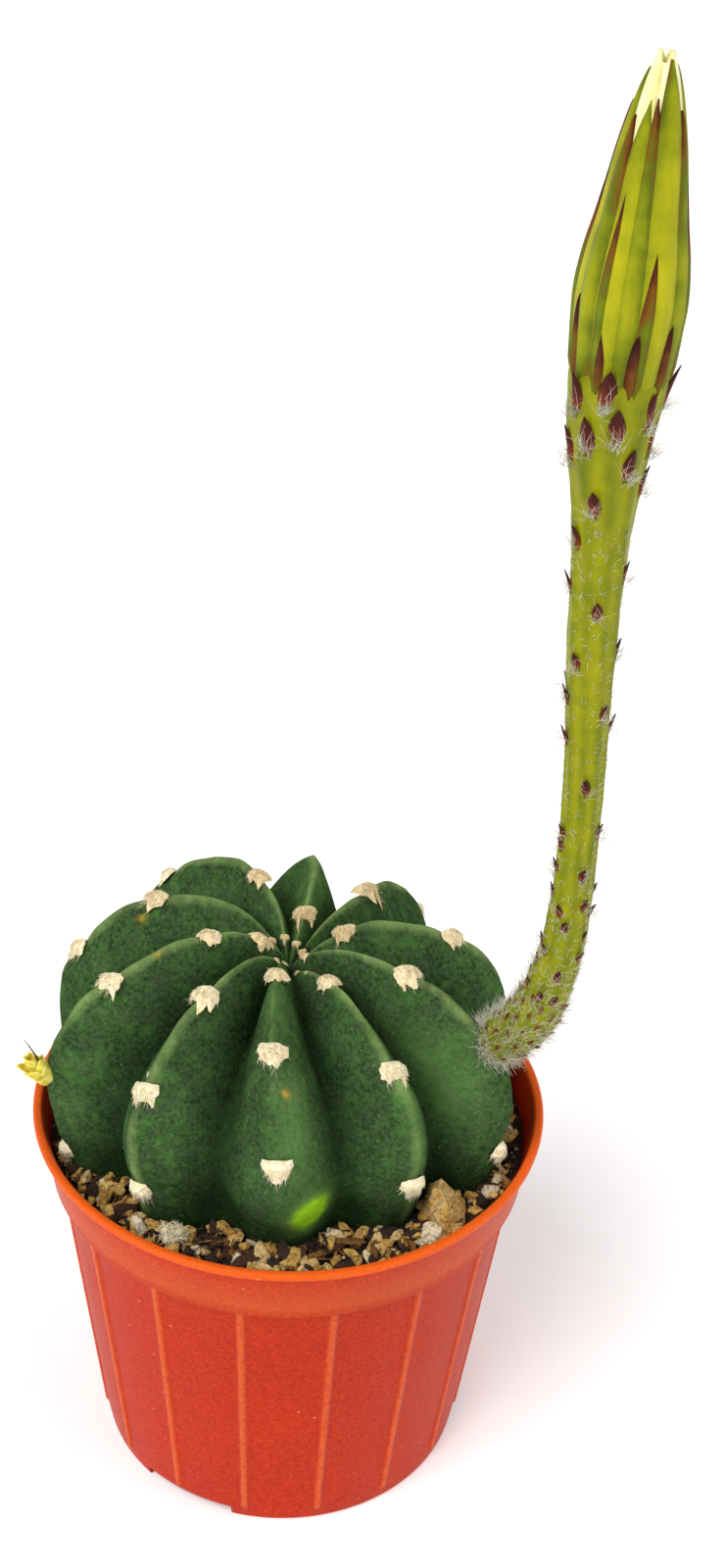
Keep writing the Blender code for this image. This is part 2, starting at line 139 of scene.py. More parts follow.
# %% Floor and studio light
def soft_light(name, way, strength, spread):
    """A very wide, far lamp, as even over the floor as a big softbox. Way points from the plant to the lamp."""
    data = bpy.data.lights.new(name, "SUN")
    data.energy = strength
    data.angle = radians(spread)
    lamp = bpy.data.objects.new(name, data)
    lamp.rotation_euler = Vector(way).to_track_quat("Z", "Y").to_euler()
    bpy.context.scene.collection.objects.link(lamp)


soft_light("key_light", (-0.42, -0.55, 0.8), 2.3, 40)
soft_light("fill_light", (0.75, -0.1, 0.9), 0.8, 60)
world = bpy.data.worlds.new("studio")
bpy.context.scene.world = world
world.use_nodes = True
sky = world.node_tree
direction = add(sky, "TexCoord")
parts = add(sky, "SeparateXYZ", {"Vector": direction.outputs["Generated"]})
backdrop = add(sky, "ValToRGB", {"Fac": parts.outputs["Z"]}, [(0.29, 1.0), (0.36, 0.37)])
wire(sky.nodes["Background"], {"Color": backdrop})
bpy.context.scene.view_settings.view_transform = "Standard"

# %% [markdown]
# ## White paper
# The floor is coated paper, rolled smooth, with a tooth that is drawn at about 3 mm so that it only just shows. A
# stronger lamp would also burn the plant out, so the paper gets a little light of its own instead.

# %% Paper floor
# To the eye it is plain white without gloss
HALF_FLOOR = 6
paper, tree, shader, place = material("white_paper", {
    "Roughness": 0.9, "Specular IOR Level": 0.2, "Emission Color": (1, 1, 1, 1), "Emission Strength": 0.13})
tooth = add(tree, "TexNoise", {"Vector": place, "Scale": every(3.333)})
tint = add(tree, "ValToRGB", {"Fac": tooth}, [(0.3, "#FBFBFC"), (0.7, "#FFFFFF")])
wire(shader, {"Base Color": tint})
floor_data = bpy.data.meshes.new("floor")
corners = [(x * HALF_FLOOR, y * HALF_FLOOR, 0) for x, y in ((-1, -1), (1, -1), (1, 1), (-1, 1))]
floor_data.from_pydata(corners, [], [(0, 1, 2, 3)])
floor_data.materials.append(paper)
floor = bpy.data.objects.new("floor", floor_data)
floor.location.z = -0.1 * MM
bpy.context.scene.collection.objects.link(floor)

# %% [markdown]
# ## Moulded polypropylene
# A nursery pot is injection moulded from polypropylene, a waxy, slightly clear plastic. The mould was
# spark-eroded, which leaves a fine grain. It is drawn here at about 0.7 mm, coarser than the real one, so that it
# shows. Painting each stain by hand would tie the look to one view, so noise makes the clouding and the dust.

# %% Material of the pot
# To the eye it is satin orange-red, deepest in the wall; a sheen on the collar and a glow where the thin lip lets
# light through are painted into its colour
pot_plastic, tree, shader, place = material("polypropylene_moulded", {
    "IOR": 1.49, "Specular IOR Level": 0.1, "Subsurface Weight": 0.12,
    "Subsurface Radius": (1.0, 0.35, 0.12), "Subsurface Scale": 1.6 * MM})
cloud = add(tree, "TexNoise", {"Vector": place, "Scale": every(18.18), "Detail": 3.0})
speck = add(tree, "TexNoise", {"Vector": place, "Scale": every(0.6667), "Detail": 3.0, "Roughness": 0.7})
wide = add(tree, "ValToRGB", {"Fac": cloud}, [(0.3, "#A41C01"), (0.7, "#BC2902")])
fine = add(tree, "ValToRGB", {"Fac": speck}, [(0.38, "#781000"), (0.63, "#DA4C0C")])
band, rub = (add(tree, "Attribute", attribute_name=key).outputs["Fac"] for key in ("band", "rubbed"))
# Painted light up the wall: the salmon stop at 0.55 is a painted sheen on the collar, and the bright orange stop at
# 0.965 is a painted glow of the thin lip
tall = add(tree, "ValToRGB", {"Fac": band}, [(0.0, "#B02200"), (0.4, "#B42902"), (0.55, "#CC5A26"),
                                             (0.91, "#C23304"), (0.965, "#FF7420")])
dust_cells = add(tree, "TexVoronoi", {"Vector": place, "Scale": every(3.03)})
dust_near = add(tree, "ValToRGB", {"Fac": dust_cells}, [(0.05, 1.0), (0.1, 0.0)])
dust_some = add(tree, "ValToRGB", {"Fac": cloud}, [(0.5, 0.0), (0.62, 0.7)])
dust = add(tree, "Math", {0: dust_near, 1: dust_some}, operation="MULTIPLY")
# The proud mould lines are painted paler as a painted highlight, broken up by the grain
line_highlight_broken = add(tree, "Math", {0: rub, 1: speck}, operation="MULTIPLY")
colour = wide
for share, layer in ((0.55, fine), (0.5, tall), (dust, "#DE8A70"), (line_highlight_broken, "#E26A30")):
    colour = add(tree, "MixRGB", {"Fac": share, "Color1": colour, "Color2": layer})
shine = add(tree, "MapRange", {"Value": cloud, "To Min": 0.34, "To Max": 0.52})
skin_bump = add(tree, "Bump", {"Height": speck, "Strength": 0.25, "Distance": 0.1 * MM})
wire(shader, {"Base Color": colour, "Roughness": shine, "Normal": skin_bump})

# %% [markdown]
# ## From arrays to meshes
# Natural forms are easiest to make as grids of points worked out by a formula, because the formula can follow the
# plain model's own tables with far more points. One helper turns such arrays into a mesh that rides with the
# model, and one lists the quads between the rows of a grid.


# %% Arrays to meshes
def piece(name, form, mat, slot, node, faceted=False, **values):
    """A mesh that stands for a node of the plain model. Form is points, faces and, where it has one, a tone."""
    points, faces, *tone = form
    if tone:
        values["tone"] = tone[0]
    mesh = bpy.data.meshes.new(name)
    mesh.from_pydata(np.asarray(points, float).tolist(), [], [list(map(int, face)) for face in faces])
    for key, numbers in values.items():
        layer = mesh.attributes.new(key, "FLOAT", "POINT")
        layer.data.foreach_set("value", np.broadcast_to(numbers, len(points)).astype(np.float32))
    if faceted:
        mesh.shade_flat()
    else:
        mesh.shade_smooth()
    mesh.materials.append(mat)
    made = bpy.data.objects.new(name, mesh)
    bpy.context.scene.collection.objects.link(made)
    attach(made, "root")
    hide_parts(node)
    print(name, sum(len(face) - 2 for face in faces), "triangles")
    return made


def grid_faces(rows, columns, closed=True):
    """Quads between the rows of a grid whose columns may run right round."""
    r = np.arange(rows - 1)[:, None]
    c = np.arange(columns if closed else columns - 1)[None, :]
    d = (c + 1) % columns
    quads = np.stack([r * columns + c, r * columns + d, (r + 1) * columns + d, (r + 1) * columns + c], -1)
    return quads.reshape(-1, 4)


print("a closed grid of 3 rows of 4 points has", len(grid_faces(3, 4)), "quads")

# %% [markdown]
# ## The pot's profile
# The pot is a thin turned shell: floor, tapered wall, a step out to the collar, and a rolled lip. A lathe tool
# could spin it, but the sixteen mould lines, which stand 0.4 mm proud, need columns that crowd at each line. So
# the profile and the columns are listed here, and spun in the next step.


# %% Profile of the pot
def arc(r, z, radius, start, end, count=6):
    """Points of a rounded corner about (r, z), angles in degrees from the outward direction."""
    return [(r + radius * cos(radians(a)), z + radius * sin(radians(a))) for a in np.linspace(start, end, count)]


inner_face = ([(0.0, 1.4), (20.0, 1.4), (30.6, 1.4)] + arc(30.6, 2.4, 1.0, -90, -8) + [(39.15, 58.2)]
              + arc(40.2, 59.3, 1.0, 170, 120, 4)[:2] + arc(40.3, 60.9, 0.6, -60, -8, 4) + [(43.0, 70.6)])
lip_and_collar = (arc(44.0, 71.4, 0.6, 180, 90) + arc(44.4, 71.4, 0.6, 90, 0) + arc(44.5, 71.0, 0.5, 0, -80, 4)
                  + arc(44.35, 70.2, 0.3, 100, 188, 4) + [(43.6, 68.2), (42.9, 64.4), (42.2, 61.2)]
                  + arc(41.5, 60.1, 0.6, 10, -90) + arc(40.75, 59.1, 0.4, 90, 175, 4) + [(40.2, 57.8), (39.9, 55.5)])
wall_and_foot = ([(32.9 + 7.4 * z / 59.5, z) for z in (50, 40, 30, 20, 10, 4.6, 4.0, 3.4, 2.8)]
                 + arc(32.15, 0.7, 0.7, 0, -90) + [(20.0, 0.0), (0.0, 0.0)])
profile = np.array(inner_face + lip_and_collar + wall_and_foot)
outer = np.arange(len(profile)) >= int(np.argmax(profile[:, 0]))

MOULD_LINES, FIRST_LINE, LINE_PROUD = 16, 14, 0.42
at_line, line_form = [-1.5, -1.0, -0.6, 0, 0.6, 1.0], [0, 0.2, 0.9, 1.0, 0.9, 0.2]
between = np.linspace(1.5, 21.0, 14)[:-1]
columns = np.concatenate([FIRST_LINE + 360 / MOULD_LINES * k + np.concatenate([at_line, between])
                          for k in range(MOULD_LINES)])
line_height = np.tile(np.concatenate([line_form, np.zeros(len(between))]), MOULD_LINES)
print("pot profile", len(profile), "points,", len(columns), "columns")

# %% [markdown]
# ## Spinning the pot
# Each profile point is carried round the axis, a little further out at the mould lines. The shares of height and of
# the proud lines go to the material, for a painted sheen on the collar, a painted glow at the thin lip, and a
# painted highlight on the proud lines. Three drain slots are cut through the foot with a Boolean, because a
# sharp-edged hole doesn't fit a round grid.

# %% Spin the pot and cut its slots
on_wall = outer & (profile[:, 1] > 3.1) & (profile[:, 1] < 59.3)
reach = profile[:, 0][:, None] + LINE_PROUD * line_height[None, :] * on_wall[:, None]
azimuth = np.radians(columns)[None, :]
pot_points = np.stack([reach * np.sin(azimuth), -reach * np.cos(azimuth),
                       np.repeat(profile[:, 1:2], len(columns), 1)], -1).reshape(-1, 3) * MM
pot_band = np.where(outer, np.clip((profile[:, 1] - 50) / 22, 0, 1), (profile[:, 1] > 71.3) * 0.97)
# band carries the height share for the painted collar sheen and lip glow, and the second attribute marks the proud
# lines for their painted highlight
pot = piece("pot_shell", (pot_points, grid_faces(len(profile), len(columns))), pot_plastic, "pot_plastic", "pot",
            band=np.repeat(pot_band, len(columns)), rubbed=(line_height[None, :] * on_wall[:, None]).ravel())
FIRST_SLOT, SLOTS = -28.5, 3
for k in range(SLOTS):
    bpy.ops.mesh.primitive_cube_add(size=1)
    cutter = bpy.context.object
    cutter.matrix_world = (Matrix.Rotation(radians(FIRST_SLOT + 360 / SLOTS * k), 4, "Z")
                           @ Matrix.Translation((0, -32.9 * MM, 0.65 * MM))
                           @ Matrix.Diagonal((17.6 * MM, 7 * MM, 3.3 * MM, 1)))
    bpy.context.view_layer.update()
    notch = pot.modifiers.new("foot_slot", "BOOLEAN")
    notch.object = cutter
    notch.operation = "DIFFERENCE"
    cut_mesh = bpy.data.meshes.new_from_object(pot.evaluated_get(bpy.context.evaluated_depsgraph_get()))
    pot.modifiers.clear()
    pot.data = cut_mesh
    bpy.data.objects.remove(cutter)
print("pot faces", len(pot.data.polygons))

# %% [markdown]
# ## The stem's form
# An echinopsis stem is a globe with deep ribs. The plain model fixes each rib's azimuth and size, and the ridge's
# distance from the centre at each tilt from the plant's axis. Sculpting would lose those places, so the same
# tables are used here with far more points, with rounder flanks low down, where old ribs flatten, and narrow
# crests near the growing point.


# %% Smooth curves and directions
def through(table, x):
    """Smooth curve through a table of (x, value), for a whole array of x at once."""
    xs, ys = np.array(table, float).T
    slope = np.gradient(ys, xs)
    x = np.clip(x, xs[0], xs[-1])
    i = np.clip(np.searchsorted(xs, x, side="right") - 1, 0, len(xs) - 2)
    h = xs[i + 1] - xs[i]
    t = (x - xs[i]) / h
    return (ys[i] * (1 + 2 * t) * (1 - t) ** 2 + slope[i] * h * t * (1 - t) ** 2
            + ys[i + 1] * t * t * (3 - 2 * t) + slope[i + 1] * h * t * t * (t - 1))


def smooth(x, start, end):
    """Share from 0 to 1 that eases in and out between two values."""
    t = np.clip((np.asarray(x, float) - start) / (end - start), 0, 1)
    return t * t * (3 - 2 * t)


def unit(v):
    """Vectors scaled to length one."""
    return v / np.maximum(np.linalg.norm(v, axis=-1, keepdims=True), 1e-12)


print("half way from 0 to 10 eases to", float(smooth(5, 0, 10)))

# %% [markdown]
# ## The ribs
# Each rib has a direction, a swing near the growing point, and a size above and below the waist. The first rib is
# listed again at the end, so that the last gap closes. Tilts are degrees from the plant's axis.

# %% Ribs of the stem
CENTRE = np.array((0.4, 1.8, 73.0)) * MM
RIB_AZIMUTH = np.array((269, 306, 335, 375, 417, 452, 493, 531, 562, 592, 629.0))
RIB_SWING = np.array((-13, -5, -9, 8, -11, -23, -32, -26, 10, 1, -13.0))
RIB_UPPER = np.array((1.06, 0.98, 1.085, 1.01, 1.01, 1.05, 1.09, 1.10, 1.16, 1.07, 1.06))
RIB_LOWER = np.array((0.93, 0.93, 1.03, 1.01, 1.00, 1.03, 1.04, 1.08, 1.10, 1.00, 0.93))
RIBS = len(RIB_AZIMUTH) - 1
APEX = np.array((-1.35, -1.5, 0))
RIDGE = ((0, 25.0), (12, 32.0), (28, 37.1), (45, 40.0), (62, 41.2), (80, 39.0), (100, 37.3), (122, 35.5),
         (150, 31.0), (180, 29.0))
FURROW = ((0, 0.0), (12, 0.15), (28, 0.33), (45, 0.34), (62, 0.28), (80, 0.2), (100, 0.15), (122, 0.11),
          (150, 0.05), (180, 0.0))
AREOLES = ((20, 43, 69), (21, 51, 84), (33, 88), (16, 45, 76), (31, 66, 94), (13, 62, 86), (23, 58, 92),
           (37, 60, 91), (9, 22, 46, 95), (34, 60, 88))


def stem_surface(turn, tilt, lift=0.0):
    """Points on the stem, turn ribs round from the front and tilt degrees from the axis, lift metres above it."""
    turn = np.asarray(turn, float) % RIBS
    tilt = np.asarray(tilt, float)
    k = np.floor(turn).astype(int)
    step = turn - k
    swing = np.clip(1 - tilt / 75, 0, 1) ** 1.5 * (RIB_SWING[k] + step * (RIB_SWING[k + 1] - RIB_SWING[k]))
    angle = np.radians(RIB_AZIMUTH[k] + step * (RIB_AZIMUTH[k + 1] - RIB_AZIMUTH[k]) + swing)
    ease = step * step * (3 - 2 * step)
    low = smooth(tilt, 72, 98)
    size = (1 - low) * (RIB_UPPER[k] + ease * (RIB_UPPER[k + 1] - RIB_UPPER[k]))
    size = size + low * (RIB_LOWER[k] + ease * (RIB_LOWER[k + 1] - RIB_LOWER[k]))
    beside = np.sqrt((2 * step - 1) ** 2 + 0.003)
    old = np.clip((tilt - 35) / 50, 0, 1)
    crest = ((1 - old) * (0.5 * beside + 0.5 * np.sin(pi / 2 * beside))
             + old * (0.5 * np.sin(pi / 2 * beside) + 0.25 - 0.25 * np.cos(pi * beside)))
    reach = size * through(RIDGE, tilt) * (1 - through(FURROW, tilt) * (1 - crest)) * MM + lift
    a = np.radians(tilt)
    lean = (np.clip(1 - tilt / 60, 0, 1) ** 1.2 * MM)[..., None] * APEX
    return CENTRE + lean + reach[..., None] * np.stack(
        [np.sin(a) * np.cos(angle), np.sin(a) * np.sin(angle), np.cos(a)], -1)


print("front rib at half height", np.round(stem_surface(0, 69) / MM, 1), "mm")

# %% [markdown]
# ## Cactus skin
# The skin is a waxy green epidermis that grew over water-filled tissue. It is dark and matt, mottled from 1 to
# 7 mm, with pale pores about 2.4 mm apart and corky dots about 10 mm apart. A painted yellow-green highlight runs
# along the crests, painted shade darkens the furrows and the lower stem, and the lighter patches are partly young
# tissue and partly painted highlight. A painted image would fix these, but the mesh already knows where crests,
# furrows, patches and scars are, so it gives their places and noise breaks their edges.

# %% Material of the stem
# To the eye it is a deep, soft green with almost no gloss, because the wax scatters the light
cactus_skin, tree, shader, place = material("waxy_epidermis", {
    "IOR": 1.4, "Specular IOR Level": 0.0, "Subsurface Weight": 0.08,
    "Subsurface Radius": (0.4, 1.0, 0.3), "Subsurface Scale": 1.5 * MM})
patches = add(tree, "TexNoise", {"Vector": place, "Scale": every(6.667), "Detail": 7.0, "Roughness": 0.68})
lively = add(tree, "TexNoise", {"Vector": place, "Scale": every(3.226), "Detail": 6.0, "Roughness": 0.7})
dull = add(tree, "TexNoise", {"Vector": place, "Scale": every(1.923), "Detail": 6.0, "Roughness": 0.75,
                              "Distortion": 0.6})
mottle = add(tree, "TexNoise", {"Vector": place, "Scale": every(0.7143), "Detail": 4.0, "Roughness": 0.8})
pores = add(tree, "TexVoronoi", {"Vector": place, "Scale": every(2.381)})
cork = add(tree, "TexVoronoi", {"Vector": place, "Scale": every(10.526)})
crest, furrow, fresh, spot = (add(tree, "Attribute", attribute_name=key).outputs["Fac"]
                              for key in ("crest", "furrow", "fresh", "spot"))
crest_highlight_broken = add(tree, "Math", {0: crest, 1: patches}, operation="MULTIPLY")
fresh_broken = add(tree, "Math", {0: fresh, 1: dull}, operation="MULTIPLY")
growth_and_lit_green = add(tree, "ValToRGB", {"Fac": fresh}, [(0.3, "#78A858"), (0.8, "#A6E82C")])
green = add(tree, "ValToRGB", {"Fac": patches}, [(0.32, "#192814"), (0.5, "#264222"), (0.68, "#496A38")])
mottled = add(tree, "ValToRGB", {"Fac": mottle}, [(0.38, "#121D10"), (0.64, "#5F814A")])
colour = add(tree, "MixRGB", {"Fac": 0.45, "Color1": green, "Color2": mottled})
# Painted light among these layers: the crest colour is a painted highlight, the furrow colour a painted shade, and
# the young patches are partly painted highlight
for grain, mask, layer in ((dull, [(0.46, 0.0), (0.66, 0.6)], "#43463A"),
                           (lively, [(0.52, 0.0), (0.7, 0.55)], "#4C7F36"),
                           (crest_highlight_broken, [(0.22, 0.0), (0.66, 0.62)], "#96AC68"),
                           (furrow, None, "#0C1D0E"),
                           (fresh_broken, [(0.0, 0.0), (0.5, 1.0)], growth_and_lit_green),
                           (spot, None, "#D29A3A"),
                           (pores, [(0.05, 0.4), (0.1, 0.0)], "#7E9A66"),
                           (cork, [(0.035, 0.9), (0.07, 0.0)], "#C9C8A0")):
    share = add(tree, "ValToRGB", {"Fac": grain}, mask) if mask else grain
    colour = add(tree, "MixRGB", {"Fac": share, "Color1": colour, "Color2": layer})
wax = add(tree, "MapRange", {"Value": patches, "To Min": 0.5, "To Max": 0.7})
skin_bump = add(tree, "Bump", {"Height": mottle, "Strength": 0.3, "Distance": 0.15 * MM})
wire(shader, {"Base Color": colour, "Roughness": wax, "Normal": skin_bump})

# %% [markdown]
# ## The stem
# A real rib swells a little below each woolly areole and dips at it. A fine grid follows the ribs with those
# swellings, and slow noise keeps the flanks from looking machined. A displacement map could do it, but then the
# form would be missing from the mesh.


# %% Swellings and lumps
def rough(points, size, seed=0.0):
    """Soft noise from -1 to 1 at each point, with bumps of about the given size in metres."""
    return np.array([noise.noise(Vector(p) / size + Vector((seed, 0, 0))) for p in points])


turns = np.arange(360) / 36.0
tilts = np.concatenate([[0.4], np.linspace(2, 128, 127), np.linspace(134, 178, 9)])
grid_turn, grid_tilt = np.meshgrid(turns, tilts)
nearest = np.round(grid_turn).astype(int) % RIBS
off_crest = np.abs(grid_turn - np.round(grid_turn)) * 2
swell = np.zeros_like(grid_turn)
for rib, row in enumerate(AREOLES):
    for tilt in row:
        beside = np.exp(-(off_crest / 0.42) ** 2) * (nearest == rib)
        swell += beside * (0.75 * np.exp(-((grid_tilt - tilt - 7) / 5.5) ** 2)
                           - 0.65 * np.exp(-((grid_tilt - tilt + 1) / 3.2) ** 2))
flat = stem_surface(grid_turn.ravel(), grid_tilt.ravel())
lumps = rough(flat, 9 * MM).reshape(grid_turn.shape) * 0.35 + rough(flat, 3.5 * MM, 7).reshape(grid_turn.shape) * 0.1
fade = np.clip((grid_tilt - 8) / 14, 0, 1)
lift = (swell * 0.8 + lumps - 0.15) * fade * MM
stem_points = stem_surface(grid_turn.ravel(), grid_tilt.ravel(), lift.ravel())
print("stem swells by up to", round(float(lift.max() / MM), 2), "mm")

# %% [markdown]
# ## Marks on the stem
# The photograph shows yellow-green crests, two broad pale crests, dark furrows, a bright young patch at the foot
# of the front rib, lighter bands, and a few yellow scars. The crests and the two broad ones are painted highlight,
# the furrows and the lower stem painted shade, and the lighter bands painted highlight beside the young patch.
# Each becomes a number at every point, for the skin to read.


# %% Crests, furrows, patches and scars
def blots(rows):
    """Soft patches on the stem, from rows of rib, tilt, their half widths, and strength."""
    return sum(power * np.exp(-(((grid_turn - rib + 5) % RIBS - 5) / wide) ** 2 - ((grid_tilt - tilt) / tall) ** 2)
               for rib, tilt, wide, tall, power in rows)


# The crest colour is a painted highlight, strongest high on the stem
crest_highlight = np.exp(-(off_crest / np.interp(grid_tilt, (8, 30, 70), (0.3, 0.19, 0.15))) ** 2)
fading = np.interp(grid_tilt, (0, 20, 55, 68, 100), (0.7, 1.0, 0.95, 0.35, 0.25))
# Two crests carry a broader painted highlight lower down
broad_crest_highlight = np.isin(nearest, (1, 9)) * np.interp(grid_tilt, (55, 70, 98, 104), (0, 0.9, 0.9, 0))
crest_highlight = crest_highlight * np.maximum(fading, broad_crest_highlight) * np.where(nearest == 0, 0.55, 1.0)
# Painted shade in the furrows, and more of it towards the bottom of the stem
dark = np.clip(off_crest - 0.45, 0, 1) * 1.35 * np.interp(grid_tilt, (0, 18, 60, 90), (0.2, 0.8, 1.0, 0.9))
dark += 0.5 * smooth(grid_tilt, 78, 100)
# The patch at the foot of the front rib is young tissue; several of the fainter patches on other crests and flanks
# are painted highlight
growth_and_lit_patches = blots(((0.24, 88.5, 0.15, 7.5, 1.6), (0.13, 60, 0.12, 15, 0.3), (0.0, 26, 0.16, 10, 0.24),
                       (1.03, 66, 0.09, 22, 0.3), (1.72, 58, 0.16, 14, 0.26), (4.1, 30, 0.2, 14, 0.06),
                       (5.0, 16, 0.5, 22, 0.2)))
scars = blots(((0.09, 52, 0.022, 0.8, 0.95), (7.12, 41, 0.014, 1.0, 0.8), (8.03, 34, 0.016, 0.9, 0.5)))
piece("stem", (stem_points, grid_faces(len(tilts), len(turns))), cactus_skin, "cactus_skin", "cactus_stem",
      crest=crest_highlight.ravel(), furrow=dark.ravel().clip(0, 0.7), fresh=growth_and_lit_patches.ravel().clip(0, 1),
      spot=scars.ravel())

# %% [markdown]
# ## Areole felt
# Each areole grows a cushion of short felted wool, cream where it is fresh and straw-yellow in its folds and where
# it is old. On the far side of the stem the same straw tone is painted shade. Its tufts are about 0.8 mm. Sheen and
# light passing through keep it soft.

# %% Material of the wool
# To the eye it is matt, warm white and lumpy
wool, tree, shader, place = material("areole_felt", {
    "Roughness": 0.95, "Sheen Weight": 0.3, "Subsurface Weight": 0.15, "Subsurface Scale": 0.6 * MM})
tufts = add(tree, "TexNoise", {"Vector": place, "Scale": every(0.7692), "Detail": 4.0, "Roughness": 0.7})
cream = add(tree, "ValToRGB", {"Fac": tufts}, [(0.28, "#C4A45C"), (0.4, "#F2DEAC"), (0.58, "#FFF6D8")])
# The tone carries age and, on the far areoles, a painted shade
age_and_shade = add(tree, "Attribute", attribute_name="tone").outputs["Fac"]
aged_and_shaded = add(tree, "MixRGB", {"Fac": age_and_shade, "Color1": cream, "Color2": "#D2B67C"}, blend_type="MULTIPLY")
felt_bump = add(tree, "Bump", {"Height": tufts, "Strength": 0.8, "Distance": 0.4 * MM})
wire(shader, {"Base Color": aged_and_shaded, "Normal": felt_bump})

# %% [markdown]
# ## Hairs
# Wool on a cactus is a felt of fine curling hairs. A particle system could grow them, but it would stay behind
# when the model is exported. So each hair here is a thin three-sided tapered tube along a curved line, all in one
# mesh, and they go wherever the mesh goes.

# %% Hairs as thin tubes
HAIR_SIDES = 3


def hairs(roots, ways, lengths, thick, curl, steps=5):
    """Points and faces of many hairs. Ways are their first directions, and curl bends them at random."""
    n = len(roots)
    lengths = np.broadcast_to(lengths, n)[:, None]
    line = [np.asarray(roots, float)]
    way = unit(np.asarray(ways, float))
    bend = rng.normal(size=(n, 3)) * curl
    for _ in range(steps - 1):
        line.append(line[-1] + way * lengths / (steps - 1))
        bend = bend + rng.normal(size=(n, 3)) * curl * 0.8
        way = unit(way + bend / steps)
    line = np.stack(line, 1)
    along = unit(line[:, -1] - line[:, 0])
    side = unit(np.cross(along, np.array([0.31, 0.52, 0.8])))
    other = np.cross(along, side)
    taper = np.linspace(1, 0.25, steps)[None, :, None, None] * np.broadcast_to(thick, n)[:, None, None, None] / 2
    angle = (np.arange(HAIR_SIDES) * 2 * pi / HAIR_SIDES)[:, None]
    ring = side[:, None, None] * np.cos(angle) + other[:, None, None] * np.sin(angle)
    points = (line[:, :, None] + ring * taper).reshape(-1, 3)
    top = HAIR_SIDES * (steps - 1)
    one = grid_faces(steps, HAIR_SIDES).tolist() + [[0, 2, 1], [top, top + 1, top + 2]]
    starts = range(0, len(points), HAIR_SIDES * steps)
    return points, [[i + start for i in face] for start in starts for face in one]


def joined(parts):
    """Several (points, faces, value) as one."""
    points, faces, values, start = [], [], [], 0
    for p, f, v in parts:
        points.append(p)
        faces += [[i + start for i in face] for face in f]
        values.append(np.broadcast_to(v, len(p)))
        start += len(p)
    return np.concatenate(points), faces, np.concatenate(values)


print("a hair with five rings has", 2 * HAIR_SIDES * 4 + 2, "triangles")

# %% [markdown]
# ## Areole cushions
# A cushion is a short, wide pad across the crest, with a few ragged locks that hang down the rib. A lumpy grid
# gives the felt its body, bent to the crest, and loose hairs break up its outline. The locks fall towards the
# ground and the viewer's side, as in the photograph. Hairs alone would look thin, and a pad alone like plaster.


# %% One areole
def stem_frame(rib, tilt):
    """A point on a rib's crest, with its outward, downward and sideways directions."""
    here = stem_surface(rib, tilt)
    down = unit(stem_surface(rib, tilt + 2.0) - stem_surface(rib, max(tilt - 2.0, 0.2)))
    side = unit(np.cross(down, here - CENTRE))
    out = np.cross(side, down)
    return here, out * np.sign(out @ (here - CENTRE)), down, side


def cushion(rib, tilt, scale, rings=9, spokes=40, felt=170, locks=3):
    """One areole: its lumpy pad, and the hairs on it."""
    here, out, down, side = stem_frame(rib, tilt)
    fall = np.array([0, -0.8, -1.0])
    low = unit(down * 0.3 + fall - out * (out @ fall))
    across = np.cross(low, out)
    share = np.linspace(0, 1, rings)[:, None] ** 0.75
    angle = np.arange(spokes)[None, :] * 2 * pi / spokes
    wave = 1 + 0.06 * np.sin(3 * angle + rng.uniform(0, 6)) + 0.05 * np.sin(8 * angle + rng.uniform(0, 6))
    x = share * np.sign(np.cos(angle)) * np.abs(np.cos(angle)) ** 0.6 * 2.5 * wave
    y = share * np.sign(np.sin(angle)) * np.abs(np.sin(angle)) ** 0.65 * 1.55 * wave
    x = x * (1 - 0.06 * y)
    for _ in range(locks):
        lock = np.exp(-((angle - pi / 2 - rng.uniform(-0.75, 0.75)) / rng.uniform(0.08, 0.16)) ** 2)
        y = y + share ** 4 * lock * rng.uniform(0.6, 2.1)
    z = 1.05 * (1 - share ** 3) - 0.3 * share ** 6
    z = z + 0.13 * np.sin(2.3 * x + rng.uniform(0, 6)) * np.cos(2.9 * y + rng.uniform(0, 6)) * (share < 0.95)
    flat = x[..., None] * across + (y[..., None] - 0.3) * low
    bend = np.interp(tilt, (20, 60, 90), (1.3, 1.0, 0.55))
    sink = -bend * (flat @ side / 2.7) ** 2 - 0.12
    pad = (here + (flat + (z + sink)[..., None] * out) * MM * scale).reshape(-1, 3)
    count = int(felt * scale ** 2)
    pick = rng.integers(spokes, len(pad), count)
    away = unit(pad[pick] - here)
    ways = out * 0.12 + away * 0.15 + low * rng.uniform(0.6, 1.5, count)[:, None]
    ways = ways + rng.normal(size=(count, 3)) * 0.24
    lower = np.clip(away @ low, 0, 1)
    lengths = (rng.uniform(0.35, 0.9, count) + lower * rng.uniform(0, 1.5, count)) * MM * scale
    hair = hairs(pad[pick] + out * 0.05 * MM, ways, lengths, 0.1 * MM, 0.4, steps=3)
    # Areoles on the far side are painted yellower as painted shade, through the same tone as age
    shaded = 0.5 + 0.5 * float(np.clip(here[1] / 0.03 + 0.6, 0, 1))
    old = float(np.interp(tilt, (8, 60), (0.75, 0.15))) * shaded
    return (pad, grid_faces(rings, spokes), old), (*hair, old)


print("top areole of the front rib at", np.round(stem_frame(0, AREOLES[0][0])[0] / MM, 1), "mm")

# %% [markdown]
# ## Where the areoles sit
# The list gives each rib's areoles as the photograph shows them, and the far side follows the same spacing. At the
# growing point each rib starts with a tiny new one.

